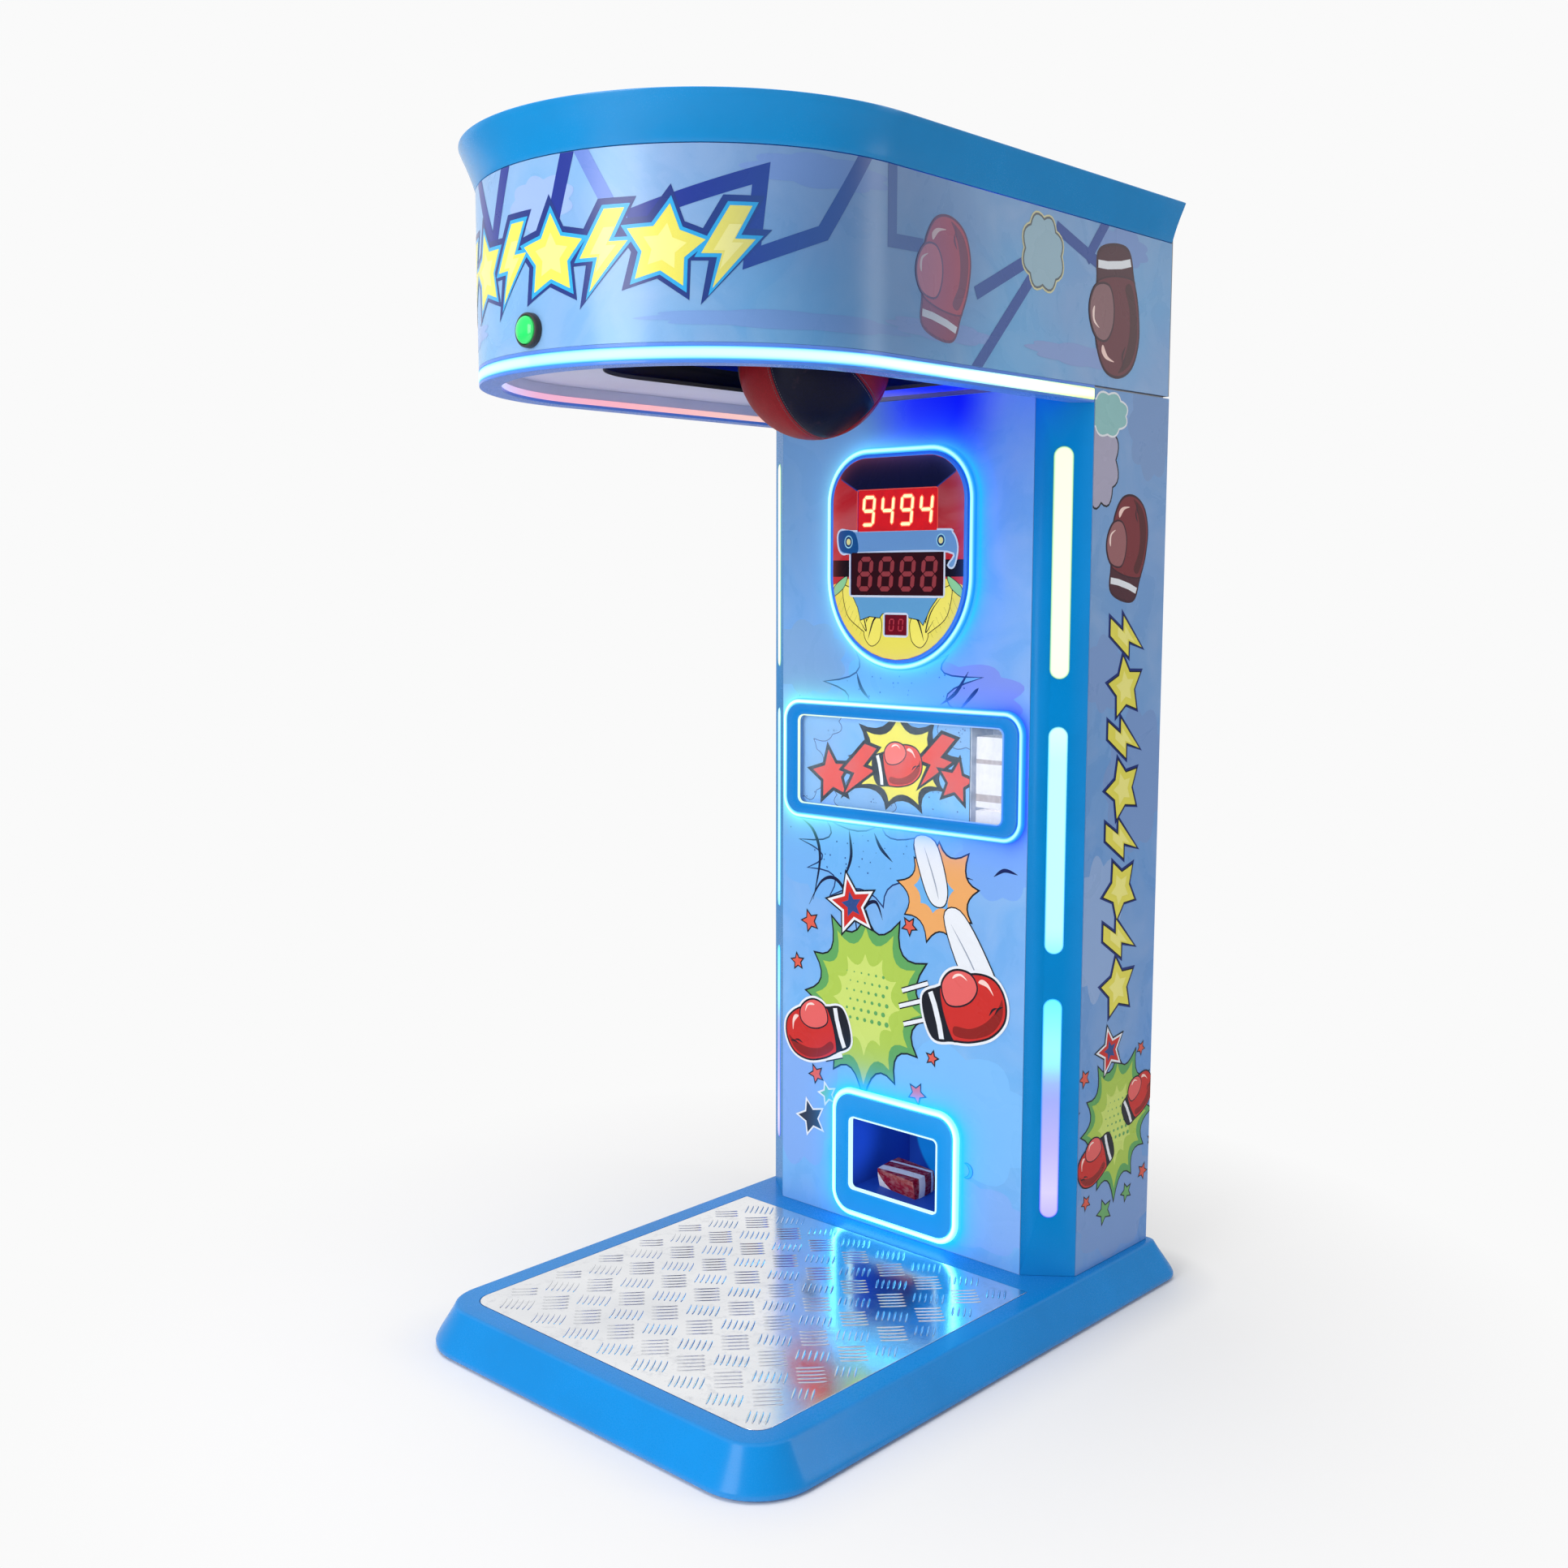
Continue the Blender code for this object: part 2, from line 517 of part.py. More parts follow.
def build_head_shell():
    """Rim, printed wrap, flared crown, lid, back sheet and the sheet underneath with the ball's slot."""
    blue = finish("rim_blue", BLUE, 0.35)
    low, seat, inner = HEAD_BOTTOM, 0.004, 0.030
    light_low, light_high, top = low + 0.004, low + 0.021, UNDERSIDE - GAP
    rim = [(0.0, low), (0.0, light_low), (seat, light_low), (seat, light_high), (0.0, light_high)]
    rim += [(0.0, WRAP_BOTTOM - GAP), (seat, WRAP_BOTTOM - GAP), (2 * seat, top), (inner, top), (inner, low)]
    head_sweep("head_rim", rim, mitred_back, blue)
    light_low, light_high, depth = light_low + GAP, light_high - GAP, seat - GAP
    strip = [(0.0, light_low), (0.0, light_high), (depth, light_high), (depth, light_low)]
    head_sweep("head_light", strip, mitred_back, finish("head_lens", LENS, 0.3))

    skin = 0.0025
    wrap_top = WRAP_TOP - 0.0012
    section = [(0.0, WRAP_BOTTOM), (skin, WRAP_BOTTOM), (skin, wrap_top), (0.0, wrap_top)]
    wrap = head_sweep("head_wrap", section, square_back, finish("head_print", PRINT, 0.3))
    cut(wrap, rod("button_hole", 0.0158, -0.03, 0.03, blue, axis="Y", location=BUTTON))

    ledge, shelf = 0.004, 0.012
    lid_bottom = CROWN_TOP - 0.005
    crown = [(0.0, WRAP_TOP), (-CROWN_FLARE, CROWN_TOP - 0.002), (0.0015 - CROWN_FLARE, CROWN_TOP)]
    crown += [(ledge, CROWN_TOP), (ledge, lid_bottom), (shelf, lid_bottom), (shelf, WRAP_TOP)]
    head_sweep("head_crown", crown, square_back, finish("crown_blue", BLUE, 0.35))
    lid = head_path(ledge + GAP, HEAD_BACK)
    prism("head_lid", [lid], "Z", lid_bottom + GAP, CROWN_TOP - 0.0007, finish("lid_blue", BLUE, 0.4))
    side = HEAD_RADIUS - 0.0005
    low, high = (-side, HEAD_BACK + GAP, WRAP_BOTTOM), (side, COLUMN_BACK, CROWN_TOP - 0.001)
    box("head_back", low, high, finish("back_grey", GREY, 0.5))

    slot_front, slot_back, slot_half = -0.352, 0.150, 0.146
    sheet = head_path(0.012, COLUMN_FACE)
    slot = arc((0.0, slot_front + slot_half), slot_half, 180, 360, 24)
    slot += [(slot_half, slot_back), (-slot_half, slot_back)]
    pale = finish("underside_grey", (0.6, 0.65, 0.75), 0.4)
    prism("underside_panel", [sheet, slot], "Z", UNDERSIDE, UNDERSIDE + UNDER_SHEET, pale)


def build_swing_frame():
    """Welded side frames on the top plate, carrying the pivot bearings and the holding magnet."""
    steel = finish("frame_steel", (0.10, 0.11, 0.12), 0.5, 0.6)
    floor = UNDERSIDE + UNDER_SHEET + GAP
    rail_top = floor + 0.030
    upright = PIVOT.z + 0.032
    post_top = 1.676
    front, rear = -0.400, 0.485
    profile = [(front, floor), (rear, floor), (rear, rail_top)]
    profile += [(-0.090, rail_top), (-0.098, post_top), (-0.138, post_top), (-0.146, rail_top)]
    profile += [(PIVOT.y + 0.060, rail_top), (PIVOT.y + 0.030, upright)]
    profile += [(PIVOT.y - 0.030, upright), (PIVOT.y - 0.060, rail_top), (front, rail_top)]
    seat = arc((PIVOT.y, PIVOT.z), 0.0205, 0, 360, 24)[:-1]
    for side, sign in (("left", -1), ("right", 1)):
        ends = sorted((sign * 0.168, sign * 0.184))
        prism("swing_frame_" + side, [profile, seat], "X", ends[0], ends[1], steel)
        outer, bore, half = 0.0200, SHAFT_RADIUS + 0.0005, 0.009
        ring = [(outer, half), (outer, -half), (bore, -half), (bore, half)]
        turned("bearing_" + side, ring, finish("bearing_" + side, STEEL, 0.25, 1.0), steps=24, axis="X",
               location=(sign * 0.176, PIVOT.y, PIVOT.z))

    beam = box("magnet_beam", (-0.186, -0.140, post_top + GAP), (0.186, -0.096, post_top + 0.028), steel)
    station = pivot_empty("magnet_station", PIVOT, rotation=(ARM_REST, 0, 0))
    face, depth, along = 0.0140, 0.028, -0.155
    back = face + depth
    low, high = (-0.030, back + GAP, along - 0.020), (0.030, back + 0.045, along + 0.020)
    cut(beam, box("magnet_block", low, high, steel, parent=station), "UNION")
    core = [(0.0, back), (0.024, back), (0.025, back - 0.001), (0.025, face), (0.0, face)]
    turned("hold_magnet", core, finish("magnet_zinc", (0.6, 0.6, 0.62), 0.3, 1.0), axis="Y", parent=station,
           location=(0.0, 0.0, along))


def build_swing():
    """Shaft, arm, collar, ball and encoder disc, all turning together. The arm is modelled pointing down."""
    axis = pivot_empty("swing_axis", PIVOT, rotation=(ARM_REST, 0, 0))
    bright = finish("shaft_steel", (0.7, 0.7, 0.72), 0.2, 1.0)
    rod("pivot_shaft", SHAFT_RADIUS, -0.193, 0.204, bright, steps=24, axis="X", parent=axis)

    black = finish("arm_black", BLACK, 0.4, 0.3)
    hub, bore = 0.022, SHAFT_RADIUS + GAP
    arm_end = ARM_TO_BALL - BALL_RADIUS - 0.0075
    arm = box("swing_arm", (-0.017, -0.008, -arm_end), (0.017, 0.008, 0.0), black, parent=axis)
    cut(arm, rod("arm_hub", hub, -0.03, 0.03, black, axis="X", parent=axis), "UNION")
    cut(arm, box("arm_keeper", (-0.028, 0.007, -0.182), (0.028, 0.0134, -0.128), black, parent=axis), "UNION")
    cut(arm, rod("arm_bore", bore, -0.04, 0.04, black, steps=24, axis="X", parent=axis))

    over = BALL_RADIUS + GAP
    rim = 0.036
    cup = [(0.0, -arm_end - GAP), (0.024, -arm_end - GAP), (rim, -arm_end - 0.008)]
    for step in range(5):
        angle = math.asin(rim / over) * (1 - step / 4)
        cup.append((over * math.sin(angle), over * math.cos(angle) - ARM_TO_BALL))
    turned("ball_collar", cup, finish("collar_black", BLACK, 0.5), steps=24, parent=axis)
    leather = finish("ball_leather", (0.45, 0.02, 0.03), 0.45)
    half_circle = [(x, z) for z, x in arc((0.0, 0.0), BALL_RADIUS, 0, 180, 18)]
    half_circle[0], half_circle[-1] = (0.0, BALL_RADIUS), (0.0, -BALL_RADIUS)
    turned("punch_ball", half_circle, leather, steps=32, location=(0.0, 0.0, -ARM_TO_BALL), parent=axis)
    wide, near, far = 0.034, 0.1985, 0.2005
    disc = [(wide, far), (wide, near), (bore, near), (bore, far)]
    turned("encoder_disc", disc, finish("encoder_black", BLACK, 0.3), axis="X", parent=axis)


def build_button():
    """Start button in the nose of the head: bezel with a threaded shank, sprung cap, switch behind."""
    outer, shank, bore, cap = 0.022, 0.0152, 0.0110, 0.0175
    front, back = -0.0095, -GAP
    shank_end, floor, well = 0.035, -0.0012, cap + 0.0006
    bezel = [(outer - 0.002, front), (outer, front + 0.002), (outer, back), (shank, back), (shank, shank_end)]
    bezel += [(bore, shank_end), (bore, floor), (well, floor), (well, front)]
    turned("button_bezel", bezel, finish("bezel_black", BLACK, 0.35), axis="Y", location=BUTTON)
    slide = pivot_empty("button_axis", BUTTON)
    stem = bore - 0.0006
    dome = [(0.0, -0.0160), (0.006, -0.0156), (0.011, -0.0143), (0.015, -0.0122), (cap, -0.0098)]
    dome += [(cap, -0.0062), (stem, -0.0062), (stem, 0.0300), (0.0, 0.0300)]
    turned("button_cap", dome, finish("cap_green", (0.03, 0.65, 0.22), 0.3), axis="Y", parent=slide)
    low, high = BUTTON + Vector((-0.014, shank_end + GAP, -0.011)), BUTTON + Vector((0.014, 0.060, 0.014))
    box("button_switch", low, high, finish("switch_black", BLACK, 0.5))


clear_scene()
build_base()
build_column()
build_door()
build_display()
build_window()
build_chute()
build_electrics()
build_head_shell()
build_swing_frame()
build_swing()
build_button()
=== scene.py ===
import math
import random

import bmesh
import bpy
from mathutils import Matrix, Vector
from mathutils.geometry import tessellate_polygon


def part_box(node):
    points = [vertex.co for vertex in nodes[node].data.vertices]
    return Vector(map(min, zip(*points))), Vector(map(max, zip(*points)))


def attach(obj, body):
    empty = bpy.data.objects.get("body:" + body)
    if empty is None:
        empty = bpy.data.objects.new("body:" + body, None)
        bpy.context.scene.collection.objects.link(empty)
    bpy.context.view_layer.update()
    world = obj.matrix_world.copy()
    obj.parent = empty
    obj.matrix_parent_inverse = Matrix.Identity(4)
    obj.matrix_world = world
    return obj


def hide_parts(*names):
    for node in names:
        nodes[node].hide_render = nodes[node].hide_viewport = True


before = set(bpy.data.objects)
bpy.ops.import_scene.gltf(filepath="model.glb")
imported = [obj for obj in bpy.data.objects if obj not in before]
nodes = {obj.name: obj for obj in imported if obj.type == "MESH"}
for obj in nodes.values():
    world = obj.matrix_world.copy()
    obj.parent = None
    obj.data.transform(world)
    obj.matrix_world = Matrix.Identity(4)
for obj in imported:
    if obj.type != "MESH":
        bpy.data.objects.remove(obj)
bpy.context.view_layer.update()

# ---- Plinth ----
# A steel pan with sloped sides and wide round front corners, folded and welded, then powder coated blue.
# A shallow pocket in its top takes the tread plate.

plinth_low, plinth_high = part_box("base_plinth")
tread_low, tread_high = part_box("tread_plate")


def tone(red, green, blue):
    """A colour as the eye reads it, 0 to 255, turned into the linear values that shaders take."""
    channels = [c / 255 for c in (red, green, blue)]
    return tuple(c / 12.92 if c < 0.04 else ((c + 0.055) / 1.055) ** 2.4 for c in channels) + (1.0,)


def join(tree, kind, values=None, out=0, **settings):
    """Adds a shader node and returns one of its outputs. A value may be another node's output."""
    node = tree.nodes.new("ShaderNode" + kind)
    for setting, value in settings.items():
        setattr(node, setting, value)
    for socket, value in (values or {}).items():
        if isinstance(value, bpy.types.NodeSocket):
            tree.links.new(value, node.inputs[socket])
        else:
            node.inputs[socket].default_value = value
    return node.outputs[out]


def sum_of(tree, operation, *values, out=0):
    """One step of arithmetic between a finish's values."""
    return join(tree, "Math", dict(enumerate(values)), out, operation=operation)


def noise(tree, place, scale, detail, **settings):
    return join(tree, "TexNoise", {"Vector": place, "Scale": scale, "Detail": detail, **settings})


def drive(tree, **values):
    """Links values to the main shader's sockets."""
    shader = tree.nodes["Principled BSDF"]
    for socket, value in values.items():
        tree.links.new(value, shader.inputs[socket.replace("_", " ")])


def emboss(tree, height, strength, distance):
    drive(tree, Normal=join(tree, "Bump", {"Strength": strength, "Distance": distance, "Height": height}))


def shaded(colour, by):
    """The same colour, darker or paler."""
    return tuple(min(channel * by, 1.0) for channel in colour[:3]) + (1.0,)


def tinted(tree, share, first, second, kind="MIX"):
    """Colours mixed by a share from 0 to 1."""
    values = {0: share, 6: first, 7: second}
    return join(tree, "Mix", values, out=2, data_type="RGBA", blend_type=kind)


def ramped(tree, value, low, high, start=0.0, end=1.0):
    return join(tree, "MapRange", {0: value, 1: low, 2: high, 3: start, 4: end})


def new_finish(name, **sockets):
    """A material, its node tree and its main shader, with the shader's plain settings."""
    material = bpy.data.materials.new(name)
    material.use_nodes = True
    shader = material.node_tree.nodes["Principled BSDF"]
    for socket, value in sockets.items():
        shader.inputs[socket.replace("_", " ")].default_value = value
    return material, material.node_tree, shader


def coated(name, colour, roughness=0.3, grain=700.0, depth=0.00004, mottle=0.07, worn=0.25, **sockets):
    """Paint, plastic or metal: faint clouding, a fine grain, uneven gloss, and rubbed, paler edges."""
    material, tree, shader = new_finish(name, **{"Specular_IOR_Level": 0.14, **sockets})
    place = join(tree, "TexCoord", out=3)
    cloud = noise(tree, place, 5.0, 6.0)
    fine = noise(tree, place, grain, 3.0)
    rubbed = tuple(c + (1 - c) * 0.35 for c in colour[:3]) + (1.0,)
    edge = ramped(tree, join(tree, "NewGeometry", out=7), 0.515, 0.6, 0.0, worn)
    base = tinted(tree, ramped(tree, cloud, 0.3, 0.7), shaded(colour, 1 - mottle),
        shaded(colour, 1 + mottle))
    drive(tree, Base_Color=tinted(tree, edge, base, rubbed))
    gloss = sum_of(tree, "ADD", cloud, fine)
    rough = ramped(tree, gloss, 0.7, 1.3, roughness * 0.8, roughness * 1.25)
    drive(tree, Roughness=rough)
    emboss(tree, fine, 0.5, depth)
    return material


def arc(centre, radius, start, end, steps):
    """Points from one angle to another, in degrees, both ends included."""
    angles = [math.radians(start + (end - start) * step / steps) for step in range(steps + 1)]
    return [(centre[0] + radius * math.cos(a), centre[1] + radius * math.sin(a)) for a in angles]


def round_plan(low, high, back_radius, front_radius, steps=12):
    """A plan with round corners, from the right back corner by way of the left."""
    left, right, front, back = low[0], high[0], low[1], high[1]
    loop = arc((right - back_radius, back - back_radius), back_radius, 0, 90, steps)
    loop += arc((left + back_radius, back - back_radius), back_radius, 90, 180, steps)
    loop += arc((left + front_radius, front + front_radius), front_radius, 180, 270, steps)
    return loop + arc((right - front_radius, front + front_radius), front_radius, 270, 360, steps)


def sweep(rows, ring=True, loop=True, caps=False, ends=False):
    """A skin through rows of points. ring joins each row's ends, loop joins the last row to the first."""
    width, count = len(rows[0]), len(rows)
    faces = []
    for row in range(count if loop else count - 1):
        low, high = row * width, (row + 1) % count * width
        for step in range(width if ring else width - 1):
            after = (step + 1) % width
            faces.append((low + step, low + after, high + after, high + step))
    if caps:
        faces += [tuple(range(width)), tuple(range((count - 1) * width, count * width))]
    if ends:
        faces += [tuple(range(0, count * width, width)), tuple(range(width - 1, count * width, width))]
    return [tuple(corner) for row in rows for corner in row], faces


def stood(name, data):
    """A new object in the scene."""
    made = bpy.data.objects.new(name, data)
    bpy.context.scene.collection.objects.link(made)
    return made


def piece(name, skin, finish, body="cabinet", stands_for=(), sharp=35, facing=False):
    """Makes an object from vertices and faces. facing keeps the faces turned as they are given."""
    mesh = bpy.data.meshes.new(name)
    mesh.from_pydata(skin[0], [], skin[1])
    if not facing:
        work = bmesh.new()
        work.from_mesh(mesh)
        bmesh.ops.recalc_face_normals(work, faces=work.faces[:])
        work.to_mesh(mesh)
        work.free()
    mesh.shade_smooth()
    mesh.set_sharp_from_angle(angle=math.radians(sharp))
    mesh.materials.append(finish)
    made = stood(name, mesh)
    flat = made.modifiers.new("Even shading", "WEIGHTED_NORMAL")
    flat.keep_sharp = True
    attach(made, body)
    if stands_for:
        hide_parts(*stands_for)
    return made


def plinth_row(draw_in, z):
    low = (plinth_low.x + draw_in, plinth_low.y + draw_in)
    high = (plinth_high.x - draw_in, plinth_high.y - draw_in)
    return [(x, y, z) for x, y in round_plan(low, high, 0.036 - 0.75 * draw_in, 0.095 - draw_in)]


def tread_row(grow, z, corner=0.029):
    low, high = (tread_low.x - grow, tread_low.y - grow), (tread_high.x + grow, tread_high.y + grow)
    return [(x, y, z) for x, y in round_plan(low, high, 0.002 + max(grow, 0), corner + grow)]


top = plinth_high.z
plinth_paint = coated("plinth_paint", tone(4, 136, 214), 0.26, Coat_Weight=0.08, Coat_Roughness=0.12)
slope = 0.0335
section = [(0.03, plinth_low.z), (0.0045, plinth_low.z), (0.0012, 0.0042), (0.0, 0.0068), (0.0, 0.0105)]
section += [(0.0007, 0.0124), (0.003, 0.0172), (0.006, 0.0226), (slope - 0.01, top - 0.0144)]
section += [(slope - 0.0066, top - 0.0083), (slope - 0.0042, top - 0.004), (slope - 0.003, top - 0.0018)]
section += [(slope - 0.001, top - 0.0005), (slope + 0.0016, top)]
rows = [plinth_row(draw_in, z) for draw_in, z in section]
pocket = [(0.0022, top), (0.0016, top - 0.0002), (0.0013, top - 0.0007), (0.0013, tread_low.z - 0.0002)]
rows += [tread_row(grow, z) for grow, z in pocket]
piece("plinth_pan", sweep(rows, loop=False, caps=True), plinth_paint, stands_for=["base_plinth"])

# ---- Tread plate ----
# Aluminium plate, rolled bright with raised bars in groups of five and of six that lie crosswise to each
# other. It lies loose in the pocket on a thin bed of sealant.


def mm(text):
    """Points from a text of pairs, in millimetres or in thousandths of a drawing's own size."""
    return [tuple(float(number) / 1000 for number in pair.split()) for pair in text.split(",")]


def vector_of(tree, operation, *values, out=0):
    return join(tree, "VectorMath", dict(enumerate(values)), out, operation=operation)


def bar(centre, angle, length, width, height):
    """One rolled bar: a low mound with pointed ends."""
    along = Vector((math.cos(angle), math.sin(angle)))
    across = Vector((-along.y, along.x))
    base = mm("-1000 0, -820 620, -400 1000, 400 1000, 820 620, 1000 0")
    base += [(u, -v) for u, v in reversed(base[1:-1])]
    rows = []
    for size_u, size_v, lift in mm("1000 1000 0, 940 600 550, 860 260 1000"):
        spots = [centre + along * (u * size_u * length / 2) + across * (v * size_v * width / 2) for u,
            v in base]
        rows.append([(spot.x, spot.y, tread_high.z - 0.0001 + lift * height) for spot in spots])
    corners, faces = sweep(rows, loop=False)
    faces.append(tuple(range(2 * len(base), 3 * len(base))))
    return corners, faces


def gathered(skins):
    """Several skins as one."""
    corners, faces = [], []
    for more_corners, more_faces in skins:
        start = len(corners)
        corners += more_corners
        faces += [tuple(start + corner for corner in face) for face in more_faces]
    return corners, faces


aluminium, tree, shader = new_finish("rolled_aluminium", Metallic=1.0)
place = join(tree, "TexCoord", out=3)
rolled = join(tree, "Mapping", {0: place, 3: (260.0, 9.0, 1.0)})
streaks = noise(tree, rolled, 1.0, 5.0)
patches = noise(tree, place, 7.0, 5.0)
scuffs = noise(tree, place, 55.0, 8.0, Roughness=0.7)
worn = ramped(tree, scuffs, 0.52, 0.7)
metal = tinted(tree, ramped(tree, patches, 0.3, 0.7), tone(226, 228, 232), tone(242, 243, 245))
metal = tinted(tree, worn, metal, tone(218, 220, 225))
height = join(tree, "SeparateXYZ", {0: place}, out=2)
# Painted shade: the foot of each bar is darkened, most on the flanks that face along one diagonal of the
# plate.
bar_foot_shade = sum_of(tree, "MULTIPLY", ramped(tree, height, tread_high.z + 0.00004, tread_high.z + 0.00012),
    ramped(tree, height, tread_high.z + 0.00035, tread_high.z + 0.0008, 0.6, 0.0))
flank_shade = vector_of(tree, "DOT_PRODUCT", join(tree, "NewGeometry", out=1), (0.84, 0.54, 0.0), out=1)
flank_shade = ramped(tree, sum_of(tree, "ABSOLUTE", flank_shade), 0.05, 0.45, 0.3, 1.0)
bar_foot_shade = sum_of(tree, "MULTIPLY", bar_foot_shade, flank_shade)
drive(tree, Base_Color=tinted(tree, bar_foot_shade, metal, tone(84, 88, 98)))
rough = ramped(tree, sum_of(tree, "ADD", patches, scuffs), 0.7, 1.3, 0.11, 0.2)
drive(tree, Roughness=rough)
relief = sum_of(tree, "ADD", streaks, scuffs)
emboss(tree, relief, 0.25, 0.0001)

edge = 0.0004
rows = [tread_row(-edge, tread_low.z), tread_row(0.0, tread_low.z + edge),
    tread_row(0.0, tread_high.z - edge), tread_row(-edge, tread_high.z)]
plate = sweep(rows, loop=False, caps=True)
step_x, step_y, margin = 0.0371, 0.0445, 0.005
bars = []
for row in range(-1, 15):
    for column in range(-2, 17):
        if (row + column) % 2:
            continue
        middle = Vector((tread_low.x + 0.0625 + column * step_x, tread_low.y + 0.037 + row * step_y))
        turn, count, length, width, spacing = (47, 5, 0.042, 0.0046, 0.0108) if row % 2 else \
            (-57, 6, 0.036, 0.0038, 0.0088)
        way = Vector((math.cos(math.radians(turn)), math.sin(math.radians(turn))))
        for order in range(count):
            spot = middle + Vector((-way.y, way.x)) * (order - (count - 1) / 2) * spacing
            ends = [spot + way * length / 2, spot - way * length / 2]
            inside = all(tread_low.x + margin < end.x < tread_high.x - margin and tread_low.y +
                margin < end.y < tread_high.y - margin for end in ends)
            corner = min((Vector((side, tread_low.y)) - spot).length for side in (tread_low.x, tread_high.x))
            if inside and corner > 0.03:
                bars.append(bar(spot, math.radians(turn), length, width, 0.0012))
piece("tread_sheet", gathered([plate] + bars), aluminium, stands_for=["tread_plate"],
    sharp=50)

# ---- Feet ----
# Two ribbed strips of black rubber glued under the plinth, so that it neither slides nor marks the floor.

rubber = coated("foot_rubber", tone(38, 38, 40), 0.8, grain=1500.0, depth=0.0002, worn=0.1)


def dress(name, finish, ease=0.0):
    """Gives a piece its finish and, where asked, eases its edges as a file or a press brake would."""
    node = nodes[name]
    node.data.materials.clear()
    node.data.materials.append(finish)
    if ease:
        weld = node.modifiers.new("Weld", "WELD")
        weld.merge_threshold = 0.00001
        flat = node.modifiers.new("Flat faces", "DECIMATE")
        flat.decimate_type = "DISSOLVE"
        flat.angle_limit = math.radians(1)
        round_off = node.modifiers.new("Eased edges", "BEVEL")
        round_off.width = ease
        round_off.segments = 2
        round_off.limit_method = "ANGLE"
        round_off.angle_limit = math.radians(40)
        round_off.use_clamp_overlap = True


def block(low, high, soft=0.0006):
    """A box with its upright corners and its rims rounded."""
    rows = []
    for draw_in, lift in ((soft, 0.0), (soft * 0.3, soft * 0.3), (0.0, soft)):
        rows.append((draw_in, low[2] + lift))
    rows += [(draw_in, high[2] - (z - low[2])) for draw_in, z in reversed(rows)]
    loops = []
    for draw_in, z in rows:
        near = (low[0] + draw_in, low[1] + draw_in)
        far = (high[0] - draw_in, high[1] - draw_in)
        radius = max(soft - draw_in, 0.00005) + soft * 0.5
        loops.append([(x, y, z) for x, y in round_plan(near, far, radius, radius, 4)])
    return sweep(loops, loop=False, caps=True)


for side in ("left", "right"):
    dress("foot_strip_" + side, rubber)
    low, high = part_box("foot_strip_" + side)
    ribs = []
    for step in range(42):
        start = low.y + 0.006 + step * (high.y - low.y - 0.012) / 42
        for left, right in ((low.x - 0.0022, low.x - 0.0002), (high.x + 0.0002, high.x + 0.0022)):
            ribs.append(block((left, start, low.z + 0.0002), (right, start + 0.012, high.z), 0.0004))
    piece("foot_ribs_" + side, gathered(ribs), rubber)

# ---- Column sheets and corner posts ----
# Two folded side sheets and two slanted posts of thicker sheet, punched with slots for the light bars.
# The posts are coated in the trim blue, and the sides are coated pale under their printed film.

post_blue = coated("post_paint", tone(0, 134, 206), 0.28, worn=0.03, Specular_IOR_Level=0.06)
pale_coat = coated("side_coat", tone(110, 160, 216), 0.35)
for side in ("left", "right"):
    dress("corner_post_" + side, post_blue, 0.0007)
    dress("side_panel_" + side, pale_coat, 0.0004)

# ---- Corner light bars ----
# Six frosted acrylic bars with round ends, pushed into the posts' slots from behind. Strips of colour-
# changing LEDs behind them make each bar drift from one colour to the next.

post_low, post_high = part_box("corner_post_right")
run, rise = post_high.x - post_low.x, post_high.y - post_low.y
slant = Vector((run, rise)).normalized()
DARK = (0.0, 0.0, 0.0, 1.0)


def lens_finish(name, strength):
    """Frosted acrylic with the LEDs' colour in it, from the mesh's own light values."""
    material, tree, shader = new_finish(name, Roughness=0.38, Emission_Strength=strength,
        Specular_IOR_Level=0.2)
    light = join(tree, "Attribute", attribute_name="light")
    place = join(tree, "TexCoord", out=3)
    frost = noise(tree, place, 1400.0, 2.0)
    drive(tree, Base_Color=tinted(tree, 0.75, light, tone(4, 40, 90)))
    grained = tinted(tree, ramped(tree, frost, 0.3, 0.7, 0.0, 0.06), light, DARK)
    drive(tree, Emission_Color=grained)
    emboss(tree, frost, 0.3, 0.00005)
    return material


def along_scale(scale, value):
    """The colour at a value on a scale of (value, colour) marks."""
    if value <= scale[0][0]:
        return scale[0][1]
    for (low, first), (high, second) in zip(scale, scale[1:]):
        if value <= high:
            share = (value - low) / (high - low)
            return tuple(a + (b - a) * share for a, b in zip(first, second))
    return scale[-1][1]


def lit(made, colour_at):
    """Writes the LEDs' colour at each point of a lens, by its place and its number."""
    values = made.data.attributes.new("light", "FLOAT_COLOR", "POINT")
    for corner, value in zip(made.data.vertices, values.data):
        value.color = tuple(colour_at(corner.co, corner.index))[:3] + (1.0,)
    return made


def between(first, second, share):
    return [a + (b - a) * share for a, b in zip(first, second)]


bar_lens = lens_finish("bar_lens", 1.1)
bar_scales = { "top": [(0.0, (0.78, 0.9, 0.62)), (0.1, (0.82, 0.9, 0.64)), (1.0, (0.8, 0.9, 0.6))],
    "middle": [(0.0, (0.25, 0.89, 0.89)), (0.1, (0.44, 0.91, 0.89)), (0.85, (0.46, 0.91, 0.89)),
    (1.0, (0.6, 0.91, 0.89))], "bottom": [(0.0, (0.44, 0.39, 0.9)), (0.12, (0.57, 0.51, 0.85)),
    (0.32, (0.42, 0.38, 0.87)), (0.55, (0.29, 0.33, 0.88)), (0.63, (0.28, 0.42, 0.87)),
    (0.69, (0.27, 0.7, 0.87)), (0.78, (0.29, 0.88, 0.88)), (1.0, (0.14, 0.88, 0.88))]}
bar_rims = [(0.16, (0.01, 0.06, 0.8)), (0.5, (0.01, 0.35, 0.9)), (0.9, (0.02, 0.5, 0.75)),
    (1.02, (0.2, 0.55, 0.25)), (1.36, (0.2, 0.55, 0.22))]


